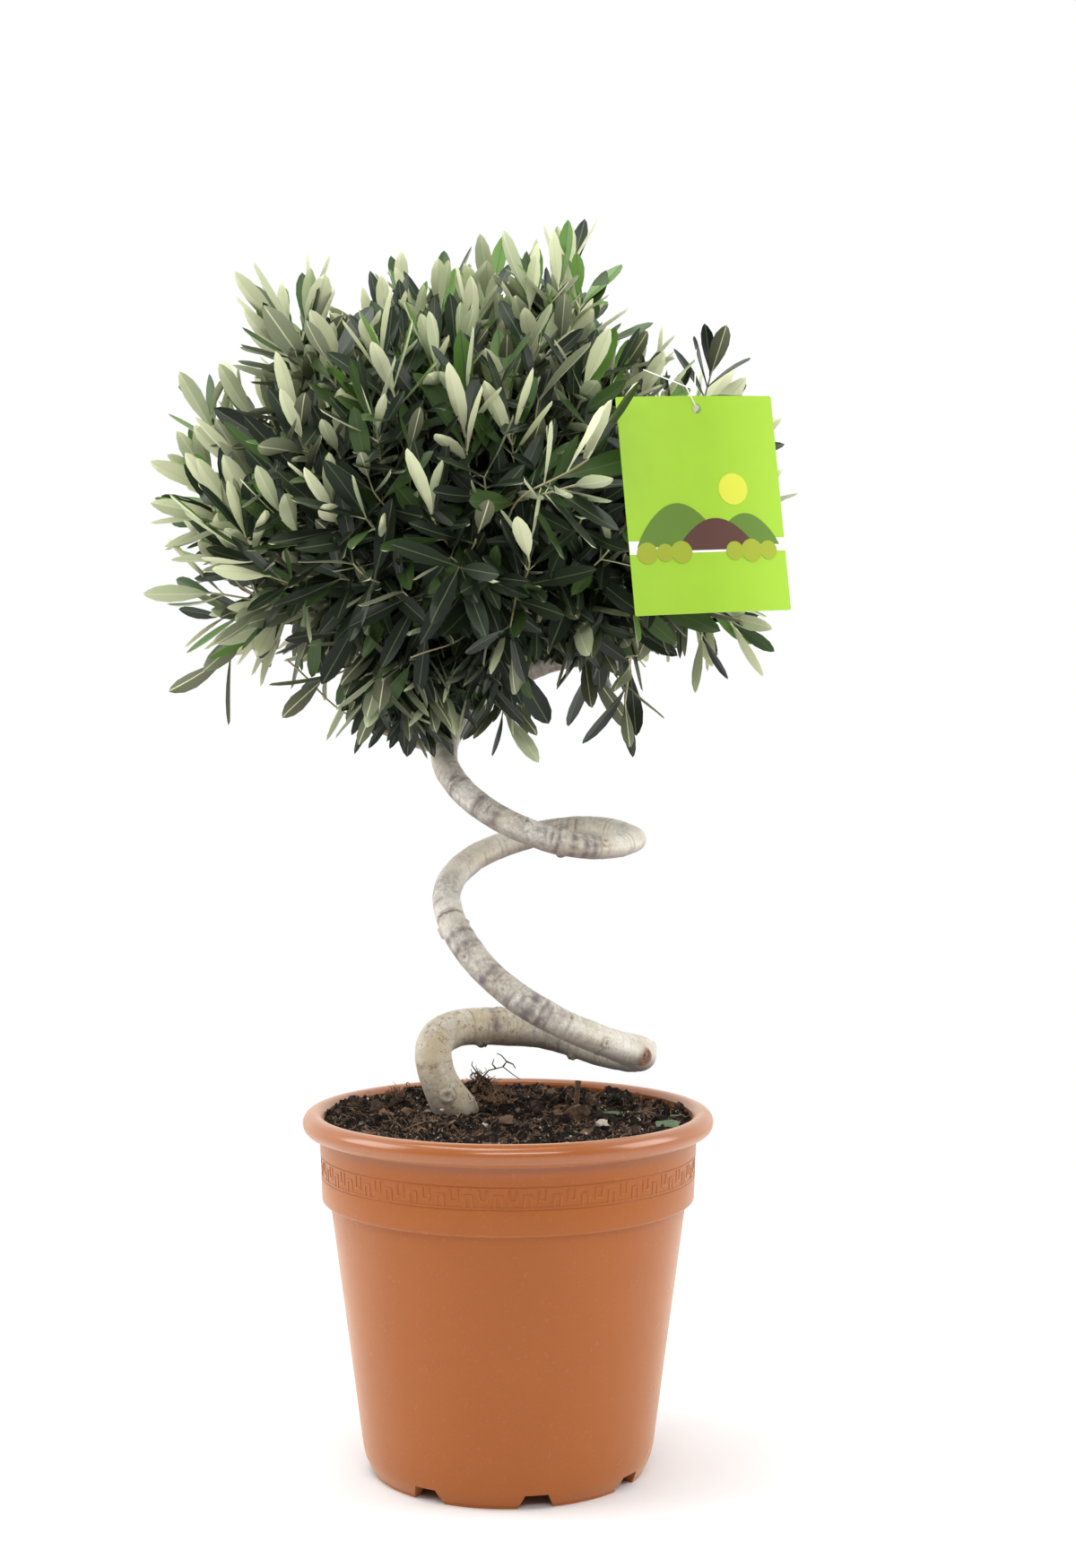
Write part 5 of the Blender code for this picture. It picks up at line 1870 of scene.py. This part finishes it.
def model_leaf():
    """A leaf one unit long and wide, its stalk at the origin and its upper side towards +Z."""
    rows = len(LEAF_STATIONS) - 1
    leaf = add_object(bpy.ops.mesh.primitive_grid_add, x_subdivisions=rows, y_subdivisions=3, size=1.0)
    edit_on()
    shape_leaf(rows)
    close_leaf()
    edit_off()
    return leaf


leaf_shape = taken_arrays(model_leaf())
print("leaf points:", len(leaf_shape[0]), "triangles:", int((leaf_shape[2] - 2).sum()))

# %% [markdown]
# ## Leaves on a shoot
# Olive leaves sit in pairs, each turned a quarter against the one below. Old leaves at the foot of a shoot
# stand far out and hang a little, young ones at its tip hug it like a tulip. The upper side faces the
# shoot, so one that stands up shows its pale undersides from the side, and one that points at the viewer
# shows its dark upper sides. Sprays are also dealt out as pale or dark: pale at the top, the left and the
# lower right, partly young growth and partly painted light, and dark in the middle as painted shade.
# Leaves further in, and open sprays low on the crown, get darker tones as painted shade.

# %% Set the leaves
PAIRS = {"outer": (5, 7), "second": (6, 7), "strong": (6, 8), "inner": (5, 6), "heart": (2, 4)}
LEAF_LENGTHS = (0.046, 0.068)
LEAF_SLIMNESS = (0.215, 0.275)
CLOSED_ANGLES = (62.0, 17.0)
OPEN_ANGLES = (92.0, 40.0)
ANGLE_SCATTER = 9.0


def line_at(line, share):
    """Point and heading on a shoot's line, at a share of its length."""
    place = share * (len(line) - 1)
    index = min(int(place), len(line) - 2)
    heading = (line[index + 1] - line[index]).normalized()
    return line[index].lerp(line[index + 1], place - index), heading


def brightness(place):
    """How much painted light a spray gets: most at the top, left and lower right, least in the middle, as
    painted shade.
    """
    top = (place.z - 0.76) / 0.15
    left = (-0.12 - place.x) / 0.10
    low_right = min((place.x - 0.08) / 0.06, (0.71 - place.z) / 0.05)
    return clamped(max(top, left, low_right))


def dealt(*tones):
    """One of these tones at random."""
    return int(random.choice(tones))


def tones_of(shoot, age):
    """Colours of a leaf's two sides, dealt out by spray and age, with painted light and painted shade by
    place.
    """
    kind, closed, bright = shoot["kind"], shoot["closed"], shoot["bright"]
    # Painted shade: leaves inside the crown get only the darker tones.
    if kind in ("inner", "heart"):
        return int(random.integers(0, 2)), int(random.integers(2, 4))
    # Painted shade: open sprays of the second layer get darker tones.
    if kind == "second" and not closed:
        return dealt(0, 0, 1), dealt(2, 3, 3)
    # Painted shade: open sprays low on the crown get dark upper sides and darker undersides.
    if kind != "strong" and not closed and shoot["away"].z < -0.1 and bright < 0.3:
        return dealt(0, 0, 0, 1), dealt(2, 3, 3)
    if closed:
        # Painted light and shade: a lit spray gets lighter upper sides, most on young leaves, and one in the
        # middle darker ones.
        upper = ((1, 2, 3, 3) if age > 0.5 else (1, 1, 2)) if bright > 0.3 else (0, 1, 1, 2)
        return dealt(*upper), dealt(*((0, 0, 1) if age > 0.4 else (1, 1, 2)))
    return dealt(0, 0, 0, 1, 1, 2), dealt(1, 2, 3, 3)


def leaves_of(shoot):
    """Leaves as rows: stalk, heading, upper normal, length, width, curl, twist and two tones."""
    line, kind, away = shoot["line"], shoot["kind"], shoot["away"]
    pairs = int(random.integers(PAIRS[kind][0], PAIRS[kind][1] + 1))
    bright = shoot["bright"] = brightness(line[-1])
    chance = {"outer": 0.26, "second": 0.10}.get(kind, 0.0) + 0.66 * bright
    chance *= 1.0 if away.z > -0.15 or bright > 0.3 else 0.3
    closed = shoot["closed"] = (kind == "strong" and away.z > -0.2) or random.uniform() < chance
    old_angle, young_angle = CLOSED_ANGLES if closed else OPEN_ANGLES
    phase, vigour = random.uniform(0, math.tau), random.uniform(0.88, 1.08)
    vigour *= 1.05 if kind == "strong" and closed else 1.0
    hanging = clamped((-0.05 - away.z) / 0.3)
    rows = []
    for pair in range(pairs):
        age = pair / max(pairs - 1, 1)
        first, crowding = (0.40, 0.70) if kind == "strong" else (0.20, 0.55 if closed else 0.80)
        spot, ahead = line_at(line, min(first + (1.0 - first) * age**crowding, 0.999))
        side = ahead.orthogonal().normalized()
        for turn in (0.0, math.pi):
            around = phase + pair * math.pi / 2 + turn + random.normal() * 0.25
            out = Matrix.Rotation(around, 3, ahead) @ side
            opening = old_angle + (young_angle - old_angle) * age
            angle = math.radians(opening + random.normal() * ANGLE_SCATTER)
            heading = ahead * math.cos(angle) + out * math.sin(angle)
            droop = (1 - age) * (0.20 if closed else 0.85)
            droop += 0.75 * hanging * random.uniform(-0.1, 1.1)
            heading = (heading - UP * droop * random.uniform(0.3, 1.2)).normalized()
            upper = ahead * math.sin(angle) - out * math.cos(angle)
            upper = upper + UP * random.uniform(0.0, 0.35) + Vector(random.normal(scale=0.18, size=3))
            upper = (upper - heading * upper.dot(heading)).normalized()
            length = random.uniform(*LEAF_LENGTHS) * vigour
            length *= 1.0 - 0.25 * max(0.0, age - 0.7) / 0.3 * random.uniform(0.0, 1.0)
            width = length * random.uniform(*LEAF_SLIMNESS)
            curl = random.normal() * 0.07 - 0.05
            twist = random.normal() * 0.35
            rows.append((*spot, *heading, *upper, length, width, curl, twist, *tones_of(shoot, age)))
    return rows


leaf_rows = {name: [] for name in mass_names}
for shoot in shoots:
    leaf_rows[shoot["owner"]] += leaves_of(shoot)
print("leaves:", sum(len(rows) for rows in leaf_rows.values()))


# %% [markdown]
# Some leaves would be in the way. Those that cut through the hanging card or hide it are left out, and so
# are those that stand too far out of the model's box or would close a gap through which the picture shows
# sky. The card is modelled later, but its place is worked out here, where it is needed first.

# %% Clear the card, the box and the sky
CARD_CENTRE = Vector((0.1353, -0.2070, 0.7329))
CARD_TURNS = {"Y": -3.0, "X": -6.6, "Z": 19.0}
CARD_WIDTH = 0.117
CARD_HEIGHT = 0.151
CARD_EDGE = 0.026
CARD_ROOM = 0.008
BOX_MARGIN = 0.012
GAP_EDGE = 3
SKY_GAPS = (
    ((662, 288), 9, 22), ((698, 312), 14, 22), ((464, 288), 9, 20), ((384, 318), 12, 22),
    ((330, 348), 8, 12), ((283, 438), 6, 14), ((239, 512), 6, 15), ((264, 658), 10, 9),
    ((337, 742), 4, 5), ((366, 779), 10, 12), ((325, 697), 5, 5), ((611, 759), 16, 10),
    ((740, 752), 16, 10), ((770, 702), 8, 6), ((816, 726), 9, 14), ((578, 520), 4, 5), ((380, 733), 4, 6),
)

yaw, lean, roll = (Matrix.Rotation(math.radians(CARD_TURNS[axis]), 4, axis) for axis in "ZXY")
card_place = Matrix.Translation(CARD_CENTRE) @ (yaw @ lean @ roll)
card_inverse = np.array(card_place.inverted())
print("card at:", [round(value, 3) for value in card_place.translation])


def points_on(rows, steps):
    """Points on the midribs of leaves, from stalk to tip, one array for each step."""
    for share in np.linspace(0, 1, steps):
        yield rows[:, 0:3] + rows[:, 3:6] * (rows[:, 9:10] * share)


def clear_of_card(rows):
    """Leave out leaves that cut through the card or hide it; a few may lie over its left edge."""
    hidden = np.zeros(len(rows), dtype=bool)
    for points in points_on(rows, 7):
        across, out, up = (points @ card_inverse[:3, :3].T + card_inverse[:3, 3]).T
        within = (np.abs(across) < CARD_WIDTH / 2 + CARD_ROOM) & (np.abs(up) < CARD_HEIGHT / 2 + CARD_ROOM)
        at_edge = (across < CARD_EDGE - CARD_WIDTH / 2) & (out < -0.003)
        hidden |= within & (out < 0.007) & ~at_edge
    return rows[~hidden]


def inside_box(rows):
    """Leave out leaves whose tips stand too far out of the model's box."""
    tips = rows[:, 0:3] + rows[:, 3:6] * rows[:, 9:10]
    low = np.array(cad_box[0]) - BOX_MARGIN
    high = np.array(cad_box[1]) + BOX_MARGIN
    return rows[((tips > low) & (tips < high)).all(axis=1)]


def open_to_sky(rows):
    """Leave out leaves that would close the gaps through which the picture shows sky."""
    closed = np.zeros(len(rows), dtype=bool)
    for points in points_on(rows, 6):
        across, down = seen_at(points)
        for middle, half_width, half_height in SKY_GAPS:
            sideways = (across - middle[0]) / (half_width + GAP_EDGE)
            closed |= np.hypot(sideways, (down - middle[1]) / (half_height + GAP_EDGE)) < 1
    return rows[~closed]


# %% [markdown]
# Thousands of objects would be slow, so each mass is one mesh: the leaf's points are taken as arrays, and
# bent, twisted, turned and moved for all leaves of the mass at once.

# %% Bend the leaf along each row
TOP_TONES = 4
UNDER_TONES = 4


def leaf_cloud(rows):
    """All leaves of a mass as arrays: the modelled leaf, bent, twisted and turned along each row."""
    points, corners, sizes, numbers = leaf_shape
    along, sideways, lift = points.T
    spot, heading, upper = (rows[:, None, start : start + 3] for start in (0, 3, 6))
    length, width, curl, twist, top, under = (rows[:, [column]] for column in range(9, 15))
    turn = twist * along
    flat, thick = sideways * width, lift * width
    across = flat * np.cos(turn) - thick * np.sin(turn)
    up = flat * np.sin(turn) + thick * np.cos(turn) + curl * length * along**2
    forward = along * length * (1 - 0.5 * np.abs(curl) * along)
    placed = spot + heading * forward[..., None] + np.cross(upper, heading) * across[..., None]
    placed = placed + upper * up[..., None]
    count = len(rows)
    offsets = np.repeat(np.arange(count) * len(points), len(corners))
    tone = np.where(numbers == TOP_SIDE, top.astype(int), TOP_TONES + under.astype(int))
    tone = np.where(numbers >= TOP_RIB, TOP_TONES + UNDER_TONES - TOP_RIB + numbers, tone)
    return placed.reshape(-1, 3), np.tile(corners, count) + offsets, np.tile(sizes, count), tone.ravel()


# %% [markdown]
# The leaf's colours are plain base colours, one material for each tone: four greens for the upper sides,
# from the blackish green of old leaves to the fresh green of new ones, four for the felted undersides, from
# cream to olive, and one for the midrib on each side. The upper side is waxy and has a soft shine; the
# underside is matt.

# %% Mix the leaf tones and make the leaves
UPPER_GREENS = {
    "leaf_upper_old": (0.0125, 0.0185, 0.0115),
    "leaf_upper_dark": (0.019, 0.030, 0.0160),
    "leaf_upper_mid": (0.048, 0.092, 0.024),
    "leaf_upper_young": (0.095, 0.205, 0.032),
}
UNDER_GREENS = {
    "leaf_under_cream": (0.72, 0.75, 0.48),
    "leaf_under_sage": (0.50, 0.55, 0.34),
    "leaf_under_grey": (0.26, 0.285, 0.180),
    "leaf_under_olive": (0.140, 0.150, 0.090),
}
RIBS = {"leaf_rib_upper": (0.085, 0.105, 0.052), "leaf_rib_under": (0.66, 0.67, 0.42)}
LEAF_SKINS = ((UPPER_GREENS, 0.34, 0.26), (UNDER_GREENS, 0.75, 0.3), (RIBS, 0.60, 0.3))
leaf_finishes = [
    start_finish(name, colour, roughness, Specular_IOR_Level=gloss)
    for colours, roughness, gloss in LEAF_SKINS
    for name, colour in colours.items()
]

for name in mass_names:
    rows = open_to_sky(inside_box(clear_of_card(np.array(leaf_rows[name]))))
    piece_name = name.replace("crown", "leaves")
    leaves = mesh_object(piece_name, [leaf_cloud(rows)])
    finish_piece(leaves, piece_name, leaf_finishes, smooth_angle=24, replaced=(name,))

# %% [markdown]
# ## The hanging card
# A care card hangs in the crown on a white thread. It is thin printed board with a round hole in a small
# ring, and it isn't quite flat. A plane would do from afar, but the board gets real thickness, rounded
# corners and a slight bow.

# %% Model the card
CARD_THICKNESS = 0.0008
CARD_BOW = 0.0022
CARD_CORNER = 0.0012
HOLE_RADIUS = 0.003
HOLE_DROP = 0.009
HOLE_STEPS = 24


def card_outline():
    """The card's outline with rounded corners, anticlockwise from the lower right."""
    outline = []
    for corner, (side, rise) in enumerate(((1, -1), (1, 1), (-1, 1), (-1, -1))):
        across, up = side * (CARD_WIDTH / 2 - CARD_CORNER), rise * (CARD_HEIGHT / 2 - CARD_CORNER)
        for angle in np.radians(np.linspace(-90, 0, 5) + corner * 90):
            outline.append((across + CARD_CORNER * math.cos(angle), up + CARD_CORNER * math.sin(angle)))
    return outline


def bowed(points):
    """Lay points of the flat card into its place, with the board's slight bow."""
    across = points[:, 0] / (CARD_WIDTH / 2)
    bent = points.copy()
    bent[:, 1] += CARD_BOW * (across**2 - 0.4)
    turn = np.array(card_place)
    return bent @ turn[:3, :3].T + turn[:3, 3]


def flat_shape(outline, front, back):
    """A closed plate with this outline, drawn, filled and extruded from front to back."""
    shape = draw_line([(across, front, up) for across, up in outline])
    pick_all()
    bpy.ops.mesh.edge_face_add()
    extrude((0.0, back - front, 0.0))
    tidy_mesh(0.000001)
    return shape


def slice_across(shape, pieces):
    """Cut a plate into upright strips, so that it can bow."""
    for share in np.linspace(-1, 1, pieces + 1)[1:-1]:
        pick_all()
        bpy.ops.mesh.bisect(plane_co=(share * CARD_WIDTH / 2, 0.0, 0.0), plane_no=(1.0, 0.0, 0.0))
    edit_off()
    return shape


def make_card():
    """The board, cut into strips so that it can bow, with its hole punched."""
    card = slice_across(flat_shape(card_outline(), -CARD_THICKNESS / 2, CARD_THICKNESS / 2), 12)
    punch = add_object(
        bpy.ops.mesh.primitive_cylinder_add,
        (0.0, 0.0, CARD_HEIGHT / 2 - HOLE_DROP),
        vertices=HOLE_STEPS,
        radius=HOLE_RADIUS,
        depth=CARD_THICKNESS * 8,
        rotation=(math.pi / 2, 0.0, 0.0),
    )
    apply_place(punch)
    apply_modifier(card, "BOOLEAN", operation="DIFFERENCE", solver="EXACT", object=punch)
    bpy.data.objects.remove(punch)
    return card


card_board = taken_arrays(make_card())
print("card points:", len(card_board[0]))

# %% [markdown]
# The print is laid on as thin inlays, so its edges stay sharp at any distance: a white stripe and a plain
# landscape of hills, shrubs and a sun, in greens, yellow and brown. They are bowed together with the board.

# %% Lay the print on the card
INK = 0.00008
CARD_SHRUBS = {-0.046: 0.0075, -0.033: 0.0062, -0.021: 0.0078, 0.019: 0.0065, 0.032: 0.0080, 0.045: 0.0066}
HILL_STEPS = 18
DISC_STEPS = 28


def inlay(outline, number, strips=1):
    """A patch of print, a hair proud of the card's front, each later one a little more."""
    front = -CARD_THICKNESS / 2 - INK * number
    points, corners, sizes, _ = taken_arrays(slice_across(flat_shape(outline, front, 0.0), strips))
    return points, corners, sizes, np.full(len(sizes), number)


def hill(left, right, foot, rise):
    """A low rounded hill between two places along the card."""
    outline = [(right, foot), (left, foot)]
    for share in np.linspace(0, 1, HILL_STEPS)[1:-1]:
        outline.append((left + (right - left) * share, foot + rise * math.sin(math.pi * share) ** 0.8))
    return outline


def disc(across, up, radius):
    angles = np.linspace(0, math.tau, DISC_STEPS + 1)[:-1]
    return [(across + radius * math.cos(angle), up + radius * math.sin(angle)) for angle in angles]


half = CARD_WIDTH / 2 - 0.0002
stripe = [(half, -0.0245), (half, -0.0335), (-half, -0.0335), (-half, -0.0245)]
card_parts = [
    card_board,
    inlay(stripe, 1, 12),
    inlay(disc(0.022, 0.010, 0.0110), 2),
    inlay(hill(-0.053, 0.010, -0.0290, 0.030), 3, 12),
    inlay(hill(0.004, 0.054, -0.0290, 0.022), 3, 12),
    inlay(hill(-0.024, 0.036, -0.0320, 0.022), 4, 12),
    *[inlay(disc(across, -0.0330, size), 5) for across, size in CARD_SHRUBS.items()],
]
card_parts = [(bowed(points), corners, sizes, numbers) for points, corners, sizes, numbers in card_parts]
board = mesh_object("label_card_board", card_parts)
face_outwards(board)


def print_finish(name, colour):
    """Satin board with a faint unevenness in its print, and a painted sheen that lightens it towards its
    right edge.
    """
    material = start_finish(name, colour, 0.38, Specular_IOR_Level=0.45)
    darker = tuple(channel * 0.93 for channel in colour)
    lighter = tuple(min(0.95, channel * 1.22 + 0.012) for channel in colour)
    paint(material, mottle(material, 45.0, 0.35, 0.65, detail=4.0), darker, 0.6)
    # Painted light: the print gets lighter towards the card's right edge, as a painted sheen.
    fade = ramp(material, place_along(material, "X"), CARD_CENTRE.x, CARD_CENTRE.x + CARD_WIDTH / 2)
    paint(material, fade, lighter, 0.8)
    relief(material, mottle(material, 240.0, 0.3, 0.7, detail=2.0), 0.00006, 0.3)
    return material


card_finishes = [
    print_finish("card_lime", (0.305, 0.525, 0.025)),
    print_finish("card_white", (0.93, 0.93, 0.92)),
    print_finish("card_yellow", (0.60, 0.62, 0.050)),
    print_finish("card_hill_green", (0.10, 0.19, 0.018)),
    print_finish("card_hill_brown", (0.085, 0.032, 0.022)),
    print_finish("card_shrub", (0.30, 0.36, 0.020)),
]
finish_piece(board, "label_card_board", card_finishes, 35, replaced=("label_card",))

# %% [markdown]
# ## The thread
# A thin white thread goes from a twig down to the card's hole and back up to another twig. Both legs are
# nearly straight, because the card's weight pulls on them, and they meet in the hole. A small ring lines
# the hole.

# %% Make the thread and the ring
THREAD_RADIUS = 0.00045
THREAD_ENDS = (Vector((0.095, -0.172, 0.830)), Vector((0.133, -0.158, 0.846)))


def thread_line():
    """Points along the thread, from one twig through the hole to the other."""
    rest = CARD_HEIGHT / 2 - HOLE_DROP + HOLE_RADIUS - THREAD_RADIUS * 1.6
    before, behind = -CARD_THICKNESS / 2 - 0.0008, CARD_THICKNESS / 2 + 0.0012
    at_hole = [
        (-0.0075, before * 3, CARD_HEIGHT / 2 + 0.006),
        (-0.0012, before * 1.2, rest + 0.0007),
        (-0.0002, before * 0.3, rest),
        (0.0003, behind * 0.5, rest + 0.0002),
        (0.0008, behind * 1.6, rest + 0.0035),
    ]
    middle = [card_place @ Vector(point) for point in at_hole]
    down = [THREAD_ENDS[0].lerp(middle[0], share) for share in np.linspace(0, 1, 9)[:-1]]
    return down + middle + [middle[-1].lerp(THREAD_ENDS[1], share) for share in np.linspace(0, 1, 9)[1:]]


def ring_part():
    """A thin ring round the hole."""
    ring = add_object(
        bpy.ops.mesh.primitive_torus_add,
        (0.0, 0.0, CARD_HEIGHT / 2 - HOLE_DROP),
        major_radius=HOLE_RADIUS + 0.0004,
        minor_radius=0.00045,
        major_segments=28,
        minor_segments=8,
        rotation=(math.pi / 2, 0.0, 0.0),
    )
    apply_place(ring)
    points, corners, sizes, numbers = taken_arrays(ring)
    return bowed(points), corners, sizes, numbers + 1


line = thread_line()
thread = mesh_object("hanging_thread", [tube(line, np.full(len(line), THREAD_RADIUS), 6), ring_part()])
thread_finish = start_finish("white_thread", (0.80, 0.80, 0.77), 0.6)
relief(thread_finish, mottle(thread_finish, 2500.0, 0.3, 0.7), 0.0001, 0.6)
ring_finish = start_finish("ring_grey", (0.10, 0.10, 0.11), 0.4)
relief(ring_finish, mottle(ring_finish, 900.0, 0.3, 0.7), 0.00004, 0.4)
finish_piece(thread, "hanging_thread", [thread_finish, ring_finish], 60, replaced=("label_thread",))
